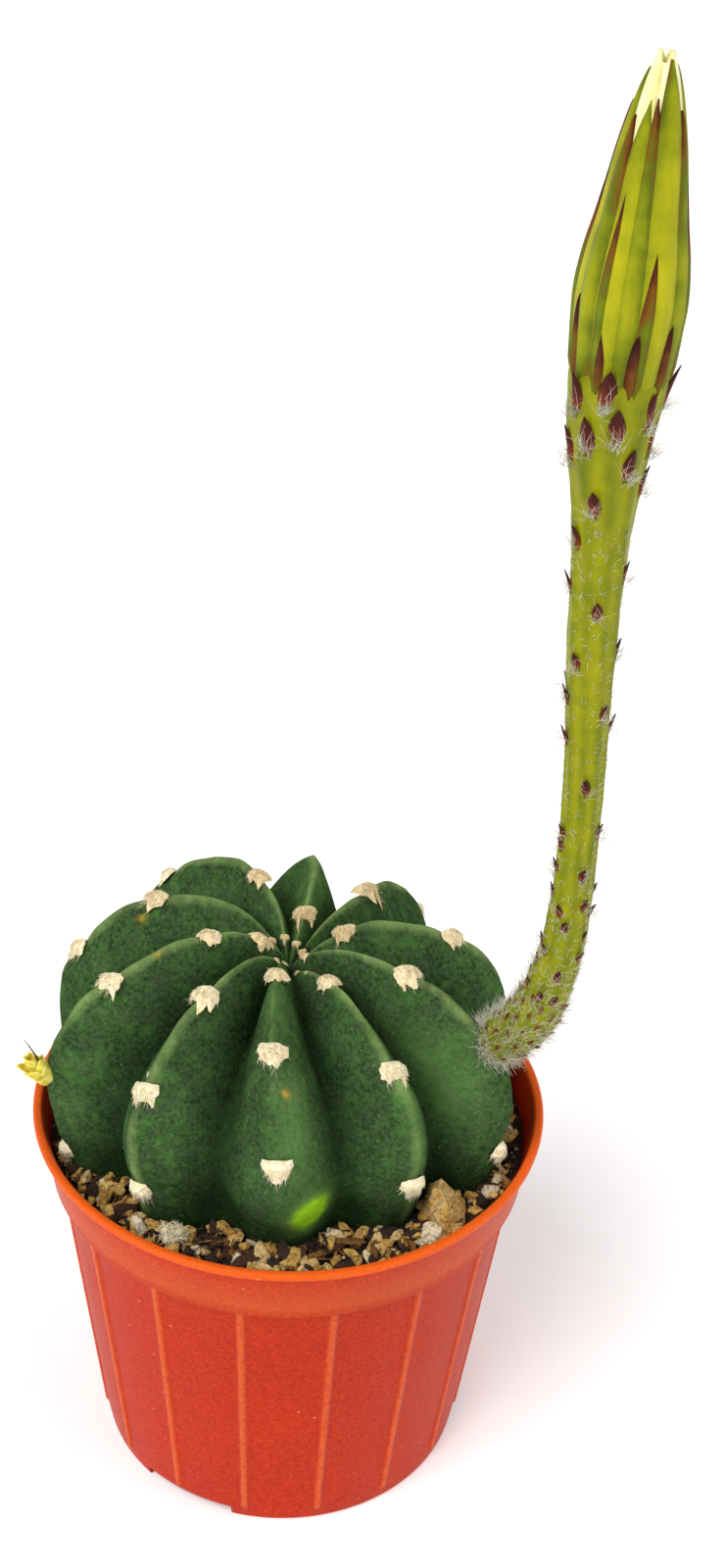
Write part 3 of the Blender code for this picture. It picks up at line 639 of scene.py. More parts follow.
# %% All areoles
spots = [(rib, tilt, 1.0 if tilt > 24 else 0.85) for rib, row in enumerate(AREOLES) for tilt in row]
spots += [(rib, 6.0, 0.33) for rib in range(RIBS)]
cushions = [part for rib, tilt, scale in spots for part in cushion(rib, tilt, scale)]
piece("areole_wool", joined(cushions), wool, "cactus_skin", "cactus_stem")

# %% [markdown]
# ## The floral tube
# The flower grows from an areole on a right-hand rib. Its tube leaves the rib sideways, turns up in an elbow, and
# widens into a funnel under the bud. A curve with a bevel could make it, but its skin, scales and hairs all need
# the same directions at any place. So the centre line of the plain model is read as a smooth function.

# %% Centre line of the tube
# Each row gives x, y, z and the radius in millimetres
TUBE = ((33.2, -11.3, 94.5, 3.6), (35.4, -12.8, 97.4, 4.3), (38.2, -14.8, 101.6, 4.4), (40.6, -16.3, 106.8, 4.2),
        (42.4, -17.0, 113.0, 3.8), (43.9, -17.0, 122.0, 3.5), (44.6, -17.0, 138.0, 3.15), (44.4, -17.0, 156.0, 3.25),
        (43.7, -17.0, 174.0, 3.7), (43.4, -17.0, 190.0, 4.1), (43.3, -17.0, 200.0, 4.9), (43.2, -17.0, 210.0, 6.2),
        (43.8, -17.0, 221.7, 7.3))
TUBE_CURVES = [[(i / (len(TUBE) - 1), value) for i, value in enumerate(column)] for column in zip(*TUBE)]


def tube_centre(share):
    """Points on the tube's centre line at shares of its length."""
    return np.stack([through(curve, share) for curve in TUBE_CURVES[:3]], -1) * MM


def on_tube(share, azimuth, lift=0.0):
    """Points on the tube's skin, with outward and onward directions. Azimuth is in degrees, 0 at the front."""
    share = np.atleast_1d(np.asarray(share, float))
    along = unit(tube_centre(np.minimum(share + 0.004, 1)) - tube_centre(np.maximum(share - 0.004, 0)))
    right_side = unit(np.cross(np.array([0, 1.0, 0]), along))
    front = np.cross(right_side, along)
    front = front * np.where(front[:, 1:2] > 0, -1, 1)
    a = np.radians(np.atleast_1d(azimuth))[:, None]
    out = right_side * np.sin(a) + front * np.cos(a)
    return tube_centre(share) + out * ((through(TUBE_CURVES[3], share) * MM)[:, None] + lift), out, along


def share_at(height):
    """The share of the tube's length at a height in millimetres."""
    table = np.linspace(0, 1, 400)
    return np.interp(height, tube_centre(table)[:, 2] / MM, table)


print("tube runs", np.round(tube_centre(np.array([0.0, 1.0])) / MM, 1).tolist())

# %% [markdown]
# ## Green flower tissue
# The tube and the tepals grew as fleshy, slightly clear leaves. They are yellow-green with strands of about 1 mm
# drawn out along their length, and turn red-brown towards the tips of scales and tepals. One recipe serves all
# three, with the tone of each point read from the mesh.


# %% Materials of the flower
# To the eye it is soft satin, with light coming through the thin edges
def tissue(name, tones, strand, stretch):
    """Fleshy tissue. The attribute tone runs along the given colours, from a keel at 0 to a brown tip at 1."""
    mat, tree, shader, place = material(name, {
        "Roughness": 0.5, "IOR": 1.38, "Specular IOR Level": 0.2, "Subsurface Weight": 0.1,
        "Subsurface Radius": (0.7, 1.0, 0.2), "Subsurface Scale": 1.0 * MM})
    drawn = add(tree, "Mapping", {"Vector": place, "Scale": (1.0, 1.0, stretch)})
    veins = add(tree, "TexNoise", {"Vector": drawn, "Scale": every(0.9091), "Detail": 4.0})
    soft = add(tree, "TexNoise", {"Vector": place, "Scale": every(3.846), "Detail": 4.0})
    tone = add(tree, "Attribute", attribute_name="tone").outputs["Fac"]
    uneven = add(tree, "MapRange", {"Value": soft, "From Min": 0.25, "From Max": 0.75,
                                    "To Min": -0.11, "To Max": 0.11})
    shifted = add(tree, "Math", {0: uneven, 1: tone}, operation="ADD")
    body = add(tree, "ValToRGB", {"Fac": shifted}, tones)
    vein_mask = add(tree, "ValToRGB", {"Fac": veins}, [(0.45, 0.0), (0.65, 0.5)])
    streaked = add(tree, "MixRGB", {"Fac": vein_mask, "Color1": body, "Color2": strand}, blend_type="SOFT_LIGHT")
    bump = add(tree, "Bump", {"Height": veins, "Strength": 0.4, "Distance": 0.25 * MM})
    wire(shader, {"Base Color": streaked, "Normal": bump})
    return mat


tube_green = tissue("floral_tube_tissue", [(0.0, "#A89E0E"), (0.25, "#878A08"), (0.45, "#626C06"), (0.62, "#743014"),
                                           (0.8, "#481510"), (1.0, "#330E0A")], "#D8D060", 0.08)
tepal_green = tissue("outer_tepal_tissue", [(0.0, "#ADA812"), (0.28, "#848A08"), (0.45, "#5A6804"), (0.62, "#6A420C"),
                                            (0.78, "#4A1A0C"), (1.0, "#2E100A")], "#D8D050", 0.06)
petal_cream = tissue("inner_petal_tissue", [(0.0, "#F2ECB8"), (0.4, "#E4DC98"), (0.75, "#C4BC58"), (1.0, "#7C6A1C")],
                     "#FFFFFF", 0.06)

# %% [markdown]
# ## Skin of the tube
# The tube has nine shallow flutes that wind slowly round it. Bump in the material could hint at them, but a grid
# of rings puts them in the mesh too, a little lighter in the grooves. The last ring is rounded in under the bud.

# %% Skin of the tube
FLUTES, SLOW_TURN, RINGS, SIDES = 9, 16, 170, 48
share, side = np.meshgrid(np.linspace(0.0, 1.0, RINGS), np.arange(SIDES) * 7.5, indexing="ij")
share, side = share.ravel(), side.ravel()
flute = np.sin(np.radians(side) * FLUTES + share * SLOW_TURN)
skin, _, _ = on_tube(share, side)
relief = 0.16 * flute * np.clip(share * 3, 0.3, 1) + 0.12 * rough(skin, 4 * MM)
shoulder = 1.3 * np.clip((share - 0.985) / 0.015, 0, 1) ** 2
skin, _, _ = on_tube(share, side, ((relief - 0.1 - shoulder) * MM)[:, None])
tone = 0.3 + 0.12 * np.clip(1 - share * 3, 0, 1) + 0.07 * flute
piece("tube_skin", (skin, grid_faces(RINGS, SIDES), tone), tube_green, "tube_green", "flower_tube")

# %% [markdown]
# ## Pointed leaves
# Scales, torn scraps and tepals are all pointed leaves: two faces of one grid, a rim between them, and a tip. A
# flat plane would vanish from the side, so even the smallest has a real thickness.


# %% One pointed leaf form
def two_sided(rows, wide):
    """Faces of a blade whose points are a grid for its upper face, then the same grid for its lower face."""
    n = rows * wide
    upper = grid_faces(rows, wide, closed=False)
    rim = list(range(wide)) + [r * wide + wide - 1 for r in range(1, rows)]
    rim += list(range(n - 2, n - wide - 1, -1)) + [r * wide for r in range(rows - 2, 0, -1)]
    edge = [[a, a + n, b + n, b] for a, b in zip(rim, rim[1:] + rim[:1])]
    return upper.tolist() + (upper[:, ::-1] + n).tolist() + edge


def leaf(root, out, up, length, width, thick, cup, tone=(0.0, 1.0), flare=0.12, rows=9, wide=7):
    """A lanceolate blade from root along up, convex towards out. Returns points, faces and tone."""
    side = unit(np.cross(up, out))
    t, s = np.meshgrid(np.linspace(0, 1, rows), np.linspace(-1, 1, wide), indexing="ij")
    half = width / 2 * np.interp(t, (0, 0.25, 0.5, 0.75, 0.92, 1), (0.7, 0.95, 1.0, 0.68, 0.28, 0.04))
    bow = -cup * s ** 2 * half + flare * length * t ** 2
    middle = root + up * (t * length)[..., None] + side * (s * half)[..., None] + out * bow[..., None]
    body = out * (thick / 2 * (1 - 0.75 * s ** 2) * (1 - 0.6 * t))[..., None]
    points = np.concatenate([(middle + body).reshape(-1, 3), (middle - body).reshape(-1, 3)])
    return points, two_sided(rows, wide), np.tile((tone[0] + (tone[1] - tone[0]) * t ** 0.7).ravel(), 2)


print("a leaf of 9 by 7 points a side has", len(two_sided(9, 7)), "faces")

# %% [markdown]
# ## Scales on the tube
# Small pointed scales sit on the tube in a spiral, red-brown with a green root. They are tiny on the lower tube
# and grow to dark maroon blades on the funnel. The list gives those that the photograph shows, as a height in
# millimetres and an azimuth in degrees. The far side and the crowded base follow the plant's own spiral, where
# each scale stands 137.5 degrees on from the last.

# %% Scales where the photograph shows them
SPIRAL = 137.5
SEEN = ((111, -25), (111, 11), (116, -79), (119, -59), (119, 47), (125, -13), (127, 79), (129, 36), (130, -79),
        (135, -79), (142, -64), (142, 65), (151, 2), (159, -79), (161, 79), (164, 37), (166, -79), (173, -42),
        (174, 79), (182, 3), (185, -79), (187, 72), (193, -60), (199, -22), (201, 79), (205, 28), (206, -72),
        (208, 67), (209, -36), (211, 3), (213, 46), (214, -59), (216, -18), (215, 77))
HIDDEN = tuple((112 + 6.1 * i, 118 + (i * SPIRAL) % 124) for i in range(17))
BASE = tuple((96.5 + 0.25 * i, (i * SPIRAL) % 360 - 180) for i in range(62))
BASE += tuple((113 + 2.4 * i, (i * SPIRAL + 40) % 360 - 180) for i in range(13))
ELBOW_TOP = 111
scales, axils = [], []
for height, azimuth in SEEN + HIDDEN + BASE:
    upper = np.interp(height, (110, 190, 215), (0, 0.35, 1.0))
    small = height < ELBOW_TOP
    (root,), (out,), (along,) = on_tube(share_at(height), azimuth, -0.2 * MM)
    length = (2.4 + 4.9 * upper + rng.uniform(-0.2, 0.4)) * MM * (0.8 if small else 1)
    width = (1.15 + 1.6 * upper) * MM * (0.62 if small else 1)
    up_way = unit(along + out * (0.22 if upper < 0.8 else 0.16) + rng.normal(size=3) * 0.05)
    scales.append(leaf(root, unit(out - along * 0.16), up_way, length, width, 0.5 * MM, 0.35,
                       tone=(0.4, 0.74 if small else 1.0), flare=0.04))
    axils.append((root, out, along, upper, height))
piece("tube_scales", joined(scales), tube_green, "tube_green", "flower_tube")

# %% [markdown]
# ## The bud
# The bud is closed. Long outer tepals overlap like roof tiles round a core, yellow-green with olive grooves and
# maroon edges. They could be modelled one by one, but one leaf form wrapped on the bud's profile keeps them
# lying on each other as real ones do. Each has a keel, a taper, and edges tucked under its neighbours.

# %% One long tepal
FOOT = np.array((43.8, -17.0, 222.0)) * MM
LEAN = radians(2.4)
BUD = ((-4.0, 6.9), (0.0, 7.15), (4.5, 7.5), (9.5, 7.75), (15.0, 7.3), (21.0, 6.3), (28.0, 5.4), (33.0, 4.6),
       (38.0, 3.6), (43.0, 2.2))


def on_bud(azimuth, height, lift=0.0):
    """Points round the leaning bud, azimuth in degrees, height and lift in millimetres."""
    a = np.radians(azimuth)
    r = through(BUD, height) + lift
    x, y, z = r * np.sin(a), -r * np.cos(a), height
    return FOOT + np.stack([x * cos(LEAN) + z * sin(LEAN), y, z * cos(LEAN) - x * sin(LEAN)], -1) * MM


def tepal(azimuth, foot, top, half_width, lift, tone, twist=0.0, rows=34, wide=11, thick=0.45):
    """One tepal from foot to top in millimetres. Tone is for the foot, the tip, and what the edges add."""
    t, s = np.meshgrid(np.linspace(0, 1, rows), np.linspace(-1, 1, wide), indexing="ij")
    height = foot + (top - foot) * t
    taper = np.interp(t, (0, 0.2, 0.55, 0.8, 0.93, 1), (0.8, 1.0, 0.97, 0.66, 0.34, 0.03))
    turn = azimuth + twist * t + s * np.degrees(half_width * taper / np.maximum(through(BUD, height), 2.4))
    keel = 0.42 * np.exp(-(s / 0.3) ** 2) * (1 - t) ** 0.4 - 0.7 * np.abs(s) ** 2.4
    rise = lift + keel - 0.35 * t ** 5 - 0.6 * np.clip(1 - (height - foot) / 2.5, 0, 1)
    outside = on_bud(turn, height, rise)
    inside = on_bud(turn, height, rise - thick * (1 - 0.8 * s ** 2) * (1 - 0.85 * t))
    points = np.concatenate([outside.reshape(-1, 3), inside.reshape(-1, 3)])
    colour = tone[0] + (tone[1] - tone[0]) * t ** 2 + tone[2] * np.abs(s) ** 1.6
    colour = colour + 0.26 * np.exp(-np.maximum(height, 0) / 5)
    return points, two_sided(rows, wide), np.tile(colour.ravel(), 2)


print("bud stands", round(float(on_bud(0, 43.0)[2] / MM), 1), "mm above the table")

# %% [markdown]
# ## Four rings of tepals
# Six long tepals close the bud, six shorter ones lie over their seams, six narrow maroon ones over those, and nine
# short ones ring the foot, where the tube's scales end. A plain core behind them stops light in the gaps.

# %% Outer tepals
CORE_SIDES = 36
core_heights = np.append(np.linspace(-1.5, 30, 32), 30.5)
height, turn = np.meshgrid(core_heights, np.arange(CORE_SIDES) * 10.0, indexing="ij")
core = on_bud(turn.ravel(), height.ravel(), np.where(height > 30.2, -4.0, -0.9).ravel())
tepals = [(core, grid_faces(len(core_heights), CORE_SIDES).tolist(), 0.5)]
for azimuth, top, lift in ((-88, 41, -0.45), (-31, 37.4, -0.3), (29, 42.4, -0.2), (88, 41.5, -0.4), (147, 41, -0.3),
                           (208, 41.5, -0.45)):
    tepals.append(tepal(azimuth, -3.4, top, 4.5, lift, (0.0, 0.34, 0.3), 5))
for azimuth, top, lift in ((-60, 35, -0.1), (-8, 37.6, -0.3), (60, 36, 0), (118, 35, -0.05), (178, 37, -0.1),
                           (240, 36, 0)):
    tepals.append(tepal(azimuth, -3.6, top, 2.9, lift, (0.14, 0.66, 0.3), rng.uniform(-2, 4)))
for azimuth, top in ((-36, 26), (14, 18.5), (72, 28), (132, 24), (196, 19), (262, 27)):
    tepals.append(tepal(azimuth, -3.5, top, 1.5, 0.02, (0.22, 0.95, 0.2), rng.uniform(0, 5)))
for i in range(9):
    tepals.append(tepal(i * 40 + 8, -3.2, 6.6 + (i * 5 % 4) * 1.1, 1.4, 0.16, (0.3, 1.0, 0.2), rng.uniform(-3, 3),
                        rows=14))
piece("bud_outer_tepals", joined(tepals), tepal_green, "tepal_green", "bud_tepals")

# %% [markdown]
# ## Rolled petals
# The cream petals show only at the tip, rolled round each other like an umbrella. Separate petals poked through
# the tepals, so they are one shell strictly inside the bud, with three folds, a notched lip that is low towards
# the viewer, and a hollow mouth.

# %% Rolled inner petals
PETAL_ROWS, PETAL_SIDES, PETAL_FOOT = 44, 72, 22
up, spin = np.meshgrid(np.linspace(0, 1, PETAL_ROWS), np.arange(PETAL_SIDES) * 5.0, indexing="ij")
lip_height = 43.4 - 1.5 * np.cos(np.radians(spin)) ** 8 - 0.5 * np.sin(np.radians(spin * 3)) ** 2
height = PETAL_FOOT + (lip_height - PETAL_FOOT) * up
folds = (spin / 120 + 0.12 * up) % 1
lift = -1.15 + 0.5 * folds - 0.25 * up ** 6
shell = on_bud(spin, height, lift)
mouth = on_bud(spin[-1:], height[-1:] - np.array([[0.1], [1.4]]), lift[-1:] - np.array([[0.35], [1.3]]))
points = np.concatenate([shell.reshape(-1, 3), mouth.reshape(-1, 3)])
tone = 0.15 + 0.5 * folds ** 6 + 0.3 * (1 - up)
tone = np.concatenate([tone.ravel(), np.full(2 * PETAL_SIDES, 0.5)])
piece("bud_inner_petals", (points, grid_faces(PETAL_ROWS + 2, PETAL_SIDES), tone), petal_cream, "petal_cream",
      "bud_petals")

# %% [markdown]
# ## Silky hair
# The flower's own hairs are longer and finer than the felt, smooth and silvery. They are drawn 0.09 mm thick, a
# little thicker than the real ones, so that they show.

# %% Material of the flower's hairs
# To the eye they are pale threads that catch the light along the outline
silk, tree, shader, place = material("axil_hair", {"Roughness": 0.8, "Sheen Weight": 0.4})
thread = add(tree, "TexNoise", {"Vector": place, "Scale": every(2.5), "Detail": 2.0})
silver = add(tree, "ValToRGB", {"Fac": thread}, [(0.35, "#B4AE94"), (0.65, "#EAE6D4")])
wire(shader, {"Base Color": silver})

# %% [markdown]
# ## Wool on the flower
# White wool covers the tube's base and thins upwards, and a few long soft hairs stand in the axil of every scale,
# most at the funnel. All of them are one mesh from the same hair helper.

# %% Wool at the base and hairs in the axils
BASE_HAIRS = 4200
base_share = 0.01 + 0.8 * rng.uniform(0, 1, BASE_HAIRS) ** 2.1
skin, out, along = on_tube(base_share, rng.uniform(-180, 180, BASE_HAIRS))
roots = [skin]
ways = [out * 0.5 + along * 0.9 + rng.normal(size=skin.shape) * 0.5]
lengths = [rng.uniform(1.2, 3.2, BASE_HAIRS) * np.interp(base_share, (0, 0.28, 0.5), (1, 0.75, 0.5))]
for root, out, along, upper, height in axils:
    count = int(14 + 34 * upper) if height > ELBOW_TOP else 6
    roots.append(root + out * 0.35 * MM + along * 0.6 * MM + rng.normal(size=(count, 3)) * 0.55 * MM)
    ways.append(out * 0.65 + along * 0.8 + rng.normal(size=(count, 3)) * 0.4)
    lengths.append(rng.uniform(1.2, 2.8 + 2.2 * upper, count))
silky = hairs(np.concatenate(roots), np.concatenate(ways), np.concatenate(lengths) * MM, 0.09 * MM, 0.45)
piece("flower_wool", silky, silk, "tube_green", "flower_tube")

# %% [markdown]
# ## Peat, bark and pumice
# The mix is black damp peat, red-brown bark and tan pumice, a volcanic glass foam that broke along flat faces and
# is full of pits of about 0.7 mm. One material serves every crumb: a number on each crumb picks the kind.

# %% Materials of the mix
# To the eye peat is dark and soft, and pumice is pale, dry and pitted
peat, tree, shader, place = material("damp_peat", {"Roughness": 0.9})
clods = add(tree, "TexNoise", {"Vector": place, "Scale": every(1.4286), "Detail": 6.0, "Roughness": 0.75})
peat_colour = add(tree, "ValToRGB", {"Fac": clods}, [(0.3, "#120B07"), (0.55, "#2B1B10"), (0.75, "#5A3A20")])
peat_bump = add(tree, "Bump", {"Height": clods, "Strength": 1.0, "Distance": 0.8 * MM})
wire(shader, {"Base Color": peat_colour, "Normal": peat_bump})

crumb, tree, shader, place = material("pumice_and_bark", {"Roughness": 0.92})
kind = add(tree, "Attribute", attribute_name="tone").outputs["Fac"]
kinds = add(tree, "ValToRGB", {"Fac": kind}, [(0.0, "#140A05"), (0.3, "#4A2A12"), (0.55, "#A8722A"),
                                              (0.75, "#E0B45C"), (1.0, "#F6ECD2")])
pits = add(tree, "TexNoise", {"Vector": place, "Scale": every(0.6667), "Detail": 5.0, "Roughness": 0.8})
# The pits are painted darker, as the shade inside them
pit_shade = add(tree, "ValToRGB", {"Fac": pits}, [(0.38, 0.16), (0.52, 1.0)])
pitted_and_shaded = add(tree, "MixRGB", {"Fac": 1.0, "Color1": kinds, "Color2": pit_shade}, blend_type="MULTIPLY")
crumb_bump = add(tree, "Bump", {"Height": pits, "Strength": 0.9, "Distance": 0.4 * MM})
wire(shader, {"Base Color": pitted_and_shaded, "Normal": crumb_bump})

# %% [markdown]
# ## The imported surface
# Under the crumbs the peat is packed flat and follows the stem's ribs closely. The stem's outline at the soil line
# is measured first, and a grid then runs from inside the stem, where it dips out of sight, to the pot's wall and
# down to its floor.

# %% Packed surface
SOIL, WALL, SOIL_SIDES, SOIL_TILT = 66.0, 41.9, 288, 100.5
round_stem = np.linspace(0, RIBS, 721)
ring = stem_surface(round_stem, np.full_like(round_stem, SOIL_TILT))
ring_azimuth = np.unwrap(np.arctan2(ring[:, 1], ring[:, 0]))
ring_reach = np.hypot(ring[:, 0], ring[:, 1])
order = np.argsort(ring_azimuth)


def stem_edge(azimuth):
    """The stem's reach from the pot's axis at the soil line, in metres, at azimuths in radians."""
    return np.interp(azimuth, ring_azimuth[order], ring_reach[order], period=2 * pi)


soil_angles = np.arange(SOIL_SIDES) * 2 * pi / SOIL_SIDES
edge = stem_edge(soil_angles)[None, :]
under_stem = np.linspace(0.02, 1, 6)[:, None] * (edge - 1.2 * MM)
in_sight = edge - 0.7 * MM + np.linspace(0, 1, 34)[:, None] * (WALL * MM - edge + 0.7 * MM)
reach = np.concatenate([under_stem, in_sight])
x, y = reach * np.cos(soil_angles), reach * np.sin(soil_angles)
flat = np.stack([x, y, np.zeros_like(reach)], -1).reshape(-1, 3)
height = SOIL - 0.4 + (rough(flat, 5 * MM, 3) * 0.9 + rough(flat, 1.6 * MM, 5) * 0.55).reshape(reach.shape)
height[:len(under_stem)] = 43.0
height[-1] = SOIL - 1.4
for r, h in ((41.6, 65.0), (40.5, 60.7), (38.8, 58.7), (31.2, 2.3), (0.5, 1.8)):
    reach = np.concatenate([reach, np.full((1, SOIL_SIDES), r * MM)])
    height = np.concatenate([height, np.full((1, SOIL_SIDES), h)])
x, y = reach * np.cos(soil_angles), reach * np.sin(soil_angles)
points = np.stack([x, y, height * MM], -1).reshape(-1, 3)
piece("soil_bed", (points, grid_faces(len(reach), SOIL_SIDES)[:, ::-1]), peat, "soil_mix", "soil")

# %% [markdown]
# ## Broken stones
# A crumb of pumice is a lump with flat breaks. Each one here starts as a ball, is made uneven by noise, cut back
# by fourteen random flats, and shaded without smoothing, so that its breaks stay sharp. Scanned stones would look
# as good, but they can't be listed in a script.


# %% One stone
def ball(subdivisions):
    """Points and faces of a unit ball of triangles."""
    bpy.ops.mesh.primitive_ico_sphere_add(subdivisions=subdivisions, radius=1)
    made = bpy.context.object
    points = np.array([v.co for v in made.data.vertices])
    faces = [list(f.vertices) for f in made.data.polygons]
    bpy.data.objects.remove(made)
    return points, faces


BALLS = {detail: ball(detail) for detail in (2, 3, 4, 5)}
FLATS_EACH = 14


def stone(centre, size, detail, tone, jagged=0.36):
    """One crumb or stone, stretched, turned and placed. Sizes are in millimetres."""
    points, faces = BALLS[detail]
    seed = rng.uniform(0, 100)
    form = 1 + jagged * rough(points, 0.8, seed) + 0.12 * rough(points, 0.33, seed + 9)
    for _ in range(FLATS_EACH):
        way = unit(rng.normal(size=3))
        beyond = (points * form[:, None]) @ way - rng.uniform(0.5, 0.82)
        form = np.where(beyond > 0, form - beyond / np.maximum(points @ way, 0.5), form)
    form = form + 0.05 * rough(points, 0.16, seed + 4)
    shape = points * form[:, None] * np.asarray(size) / 2
    turned = Matrix.Rotation(rng.uniform(0, 6.28), 3, "Z") @ Matrix.Rotation(rng.uniform(-0.7, 0.7), 3, "X")
    return (shape @ np.array(turned).T + np.asarray(centre)) * MM, faces, tone


print("finest crumb", len(BALLS[2][1]), "faces, coarsest", len(BALLS[4][1]))

# %% [markdown]
# ## Crumbs on the surface
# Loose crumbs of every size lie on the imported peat. They are thrown evenly over the ring between stem and wall, in
# three sizes, with flat flakes of bark among the middle ones. Physics could settle them, but a stone sunk by a
# share of its own size looks the same and costs nothing.


# %% Crumbs of pumice and bark
def scatter(count, low, high, detail, tones, flat=0.85, rise=0.25, slim=0.55):
    """Crumbs between the stem and the pot's wall, from low to high millimetres across."""
    made = []
    while len(made) < count:
        azimuth = rng.uniform(0, 2 * pi)
        size = rng.uniform(low, high)
        start = stem_edge(azimuth) / MM + size * 0.3
        end = WALL - 0.1 - size * 0.6
        if start > end:
            continue
        r = np.sqrt(rng.uniform(start ** 2, end ** 2))
        height = SOIL - 0.3 + size * rise * rng.uniform(0.2, 1.2)
        shape = (size * rng.uniform(0.95, 1.4), size * rng.uniform(slim, slim + 0.4),
                 size * rng.uniform(0.6, 1.1) * flat)
        place = (r * cos(azimuth), r * sin(azimuth), height)
        made.append(stone(place, shape, detail, tones[len(made) % len(tones)]))
    return made


for grade, crumbs in (
        ("fine", scatter(1300, 0.6, 1.5, 2, (0.1, 0.25, 0.62, 0.15, 0.75, 0.35, 0.05, 0.85), rise=0.7)),
        ("medium", scatter(460, 1.6, 3.1, 3, (0.15, 0.7, 0.8, 0.66, 0.2, 0.6, 0.9, 0.75), rise=0.6)
            + scatter(110, 3.0, 5.5, 3, (0.22, 0.3, 0.14, 0.4), flat=0.25, rise=0.35, slim=0.25)),
        ("coarse", scatter(110, 3.0, 5.2, 4, (0.72, 0.12, 0.8, 0.66, 0.95, 0.76, 0.7, 0.18), rise=0.3))):
    piece("soil_crumbs_" + grade, joined(crumbs), crumb, "soil_mix", "soil", faceted=True)

# %% [markdown]
# ## Bark fibres
# Shreds of bark lie between the crumbs as thin brown threads. The hair helper makes them, thicker and stiffer, and
# any that would cross the pot's wall are drawn in.

# %% Bark fibres
FIBRES, FIBRE_STEPS = 170, 4
angles = rng.uniform(0, 2 * pi, FIBRES)
reach = stem_edge(angles) + rng.uniform(0.1, 0.92, FIBRES) * (41.0 * MM - stem_edge(angles))
height = SOIL * MM + rng.uniform(0.4, 2.0, FIBRES) * MM
roots = np.stack([reach * np.cos(angles), reach * np.sin(angles), height], -1)
ways = rng.normal(size=(FIBRES, 3)) * np.array([1, 1, 0.16])
lengths = rng.uniform(1.5, 4.2, FIBRES) * MM
points, faces = hairs(roots, ways, lengths, rng.uniform(0.3, 0.75, FIBRES) * MM, 0.25, FIBRE_STEPS)
points[:, :2] *= np.minimum(1, (WALL - 0.1) * MM / np.hypot(points[:, 0], points[:, 1]))[:, None]
tone = np.repeat(rng.choice((0.15, 0.3, 0.4, 0.55), FIBRES), HAIR_SIDES * FIBRE_STEPS)
piece("bark_fibres", (points, faces, tone), crumb, "soil_mix", "soil")

# %% [markdown]
# ## A lost tuft of wool
# A tuft that fell from an areole lies in front of the left ribs. It is a ball of tangled hairs round a few soft
# lumps, in the same felt.

# %% Lost tuft
TUFT_HAIRS, TUFT_LUMPS = 700, 14
tuft = np.array([-17.6, -33.0, 68.8]) * MM + rng.normal(size=(TUFT_HAIRS, 3)) * np.array([0.9, 0.7, 0.6]) * MM
ways = rng.normal(size=(TUFT_HAIRS, 3)) + np.array([0, 0, 0.4])
tangle = hairs(tuft, ways, rng.uniform(0.7, 1.6, TUFT_HAIRS) * MM, 0.2 * MM, 0.9)
lumps = [stone(tuft[i] / MM, (1.5, 1.2, 1.4), 3, 0.0) for i in range(TUFT_LUMPS)]
piece("lost_wool", joined([(*tangle, 0.0)] + lumps), wool, "soil_mix", "soil")

# %% [markdown]
# ## Loose pumice stones
# Three bigger stones lie free on the mix, and each has its own solid in the plain model. The large one is cut by
# the same flats as that solid, roughened, so that its corners stay where they are in the photograph. The other two
# use the stone helper at their own sizes.

# %% The three stones
LARGE_CENTRE = np.array([27.6, -23.2, 69.3])
FLATS = (((-0.1, -0.93, 0.34), 2.9), ((0, 0.95, 0.3), 2.7), ((-0.98, 0, 0.2), 3.2), ((0.83, -0.1, 0.55), 1.7),
         ((-0.6, 0.3, 0.75), 4.3), ((0, 0, -1), 4.6), ((0.96, 0, -0.3), 4.2), ((0.55, -0.8, 0.2), 2.6),
         ((-0.75, -0.66, -0.05), 3.3))
points, faces = BALLS[5]
reach = np.min([far / np.maximum(points @ unit(way), 0.02) for way, far in FLATS], 0)
shape = points * reach[:, None]
shape += points * (0.16 * rough(shape, 1.7, 5) + 0.09 * rough(shape, 0.5, 8))[:, None]
piece("pumice_large", ((shape + LARGE_CENTRE) * MM, faces, 0.77 + 0.12 * rough(shape, 1.2, 3)), crumb, "pumice",
      "pumice_stone_large", faceted=True)
for name, node, size, centre, pale in (
        ("pumice_oval", "pumice_stone_oval", (5.6, 4.4, 4.2), (25.2, -29.6, 67.5), 0.92),
        ("pumice_flat", "pumice_stone_flat", (5.8, 4.6, 3.4), (-3.2, -35.4, 67.4), 0.8)):
    piece(name, stone(centre, size, 4, pale, 0.3), crumb, "pumice", node, faceted=True)

# %% [markdown]
# ## Dried flower
# An earlier bud dried up on the left rib. Its tissue is thin and papery, straw-yellow, with creases of about 1 mm.
# The one dark bristle on it is a hard spine.

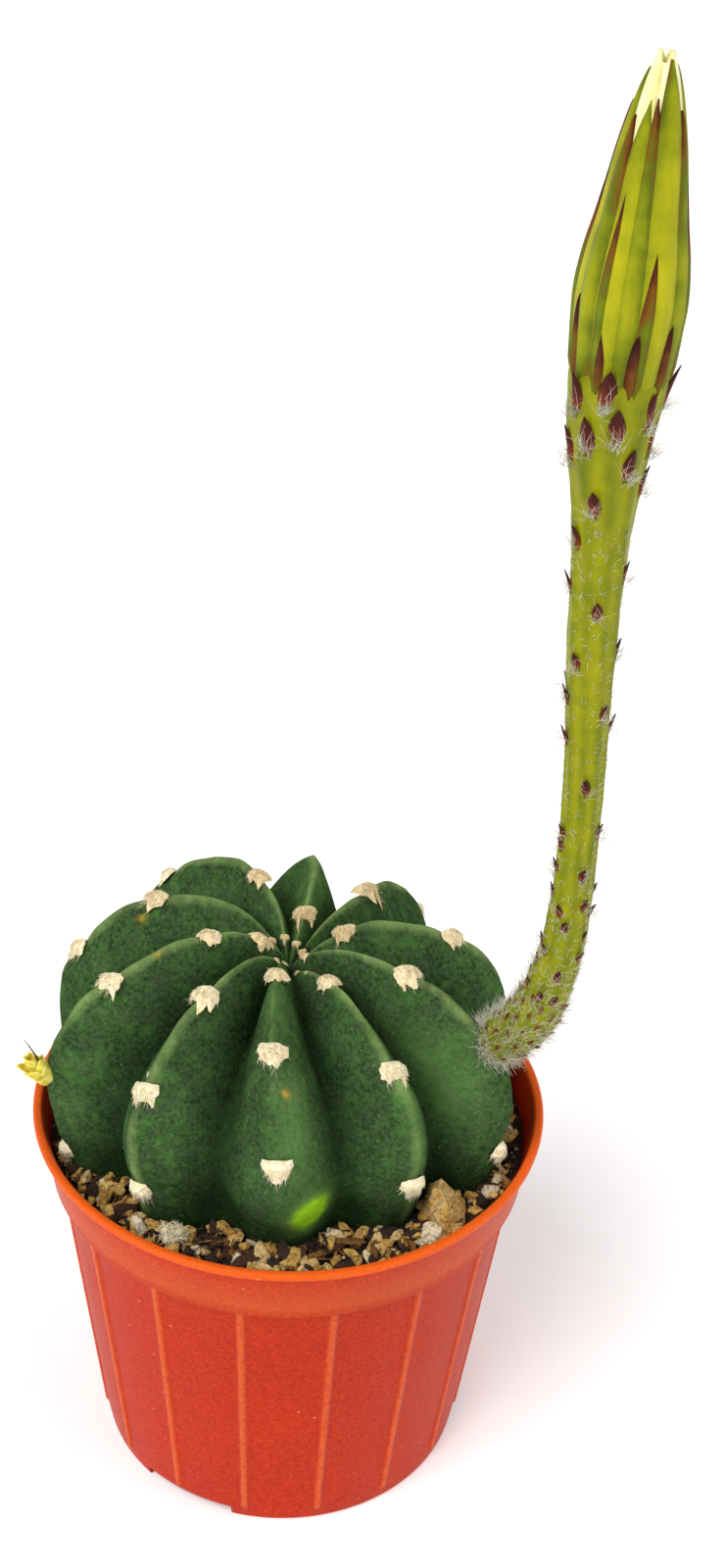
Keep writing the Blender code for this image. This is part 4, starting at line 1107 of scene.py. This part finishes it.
# %% Materials of the dried bud
# To the eye the paper is bright and crinkled, and the bristle is dark horn
dry, tree, shader, place = material("dried_flower_paper", {"Roughness": 0.7})
crinkle = add(tree, "TexNoise", {"Vector": place, "Scale": every(1.1111), "Detail": 4.0})
straw = add(tree, "ValToRGB", {"Fac": crinkle}, [(0.3, "#C49A1C"), (0.5, "#EEDF48"), (0.7, "#FFFAA8")])
dry_bump = add(tree, "Bump", {"Height": crinkle, "Strength": 0.7, "Distance": 0.3 * MM})
wire(shader, {"Base Color": straw, "Normal": dry_bump})
bristle_horn, tree, shader, place = material("dark_bristle", {"Roughness": 0.5})
streak = add(tree, "TexNoise", {"Vector": place, "Scale": every(1.1111)})
horn = add(tree, "ValToRGB", {"Fac": streak}, [(0.3, "#1C1512"), (0.7, "#4A3A30")])
wire(shader, {"Base Color": horn})

# %% [markdown]
# ## The withered bud
# It is a small cup, torn into points: five outer scraps and five inner ones round a closed heart. They are the
# same pointed leaf as the scales, set in a ring, because that gives ragged edges without drawing each tear.

# %% Torn cup and bristle
seat, out, _, _ = stem_frame(8, 73)
axis = unit(unit(seat - CENTRE) * 0.75 + np.array([0, 0, 1.0]))
cup_side = unit(np.cross(axis, np.array([0, 1.0, 0])))
cup_back = np.cross(axis, cup_side)
scraps = []
for i in range(10):
    inside = i > 4
    a = i * 2 * pi / 5 + 0.5 * inside
    way = cup_side * cos(a) + cup_back * sin(a)
    up = unit(axis + way * (0.05 if inside else rng.uniform(0.12, 0.3)))
    length = (rng.uniform(6.2, 7.0) if inside else rng.uniform(4.6, 6.4)) * MM
    scraps.append(leaf(seat - axis * 0.6 * MM + way * (0.9 if inside else 1.5) * MM, way, up, length, 3.5 * MM,
                       0.35 * MM, 0.7, flare=rng.uniform(-0.1, 0.05)))
heart = stone((seat + axis * 1.6 * MM) / MM, (3.6, 3.6, 4.4), 3, 0.0, 0.2)
piece("withered_cup", joined(scraps + [heart])[:2], dry, "dried_yellow", "withered_bud")
bristle_root = seat + axis * 4.6 * MM + np.array([1.3, -0.6, 0.2]) * MM
bristle = hairs([bristle_root], [np.array([-0.42, 0.0, 1.0])], 5.4 * MM, 0.5 * MM, 0.1, steps=9)
piece("withered_bristle", bristle, bristle_horn, "dried_yellow", "withered_bud")
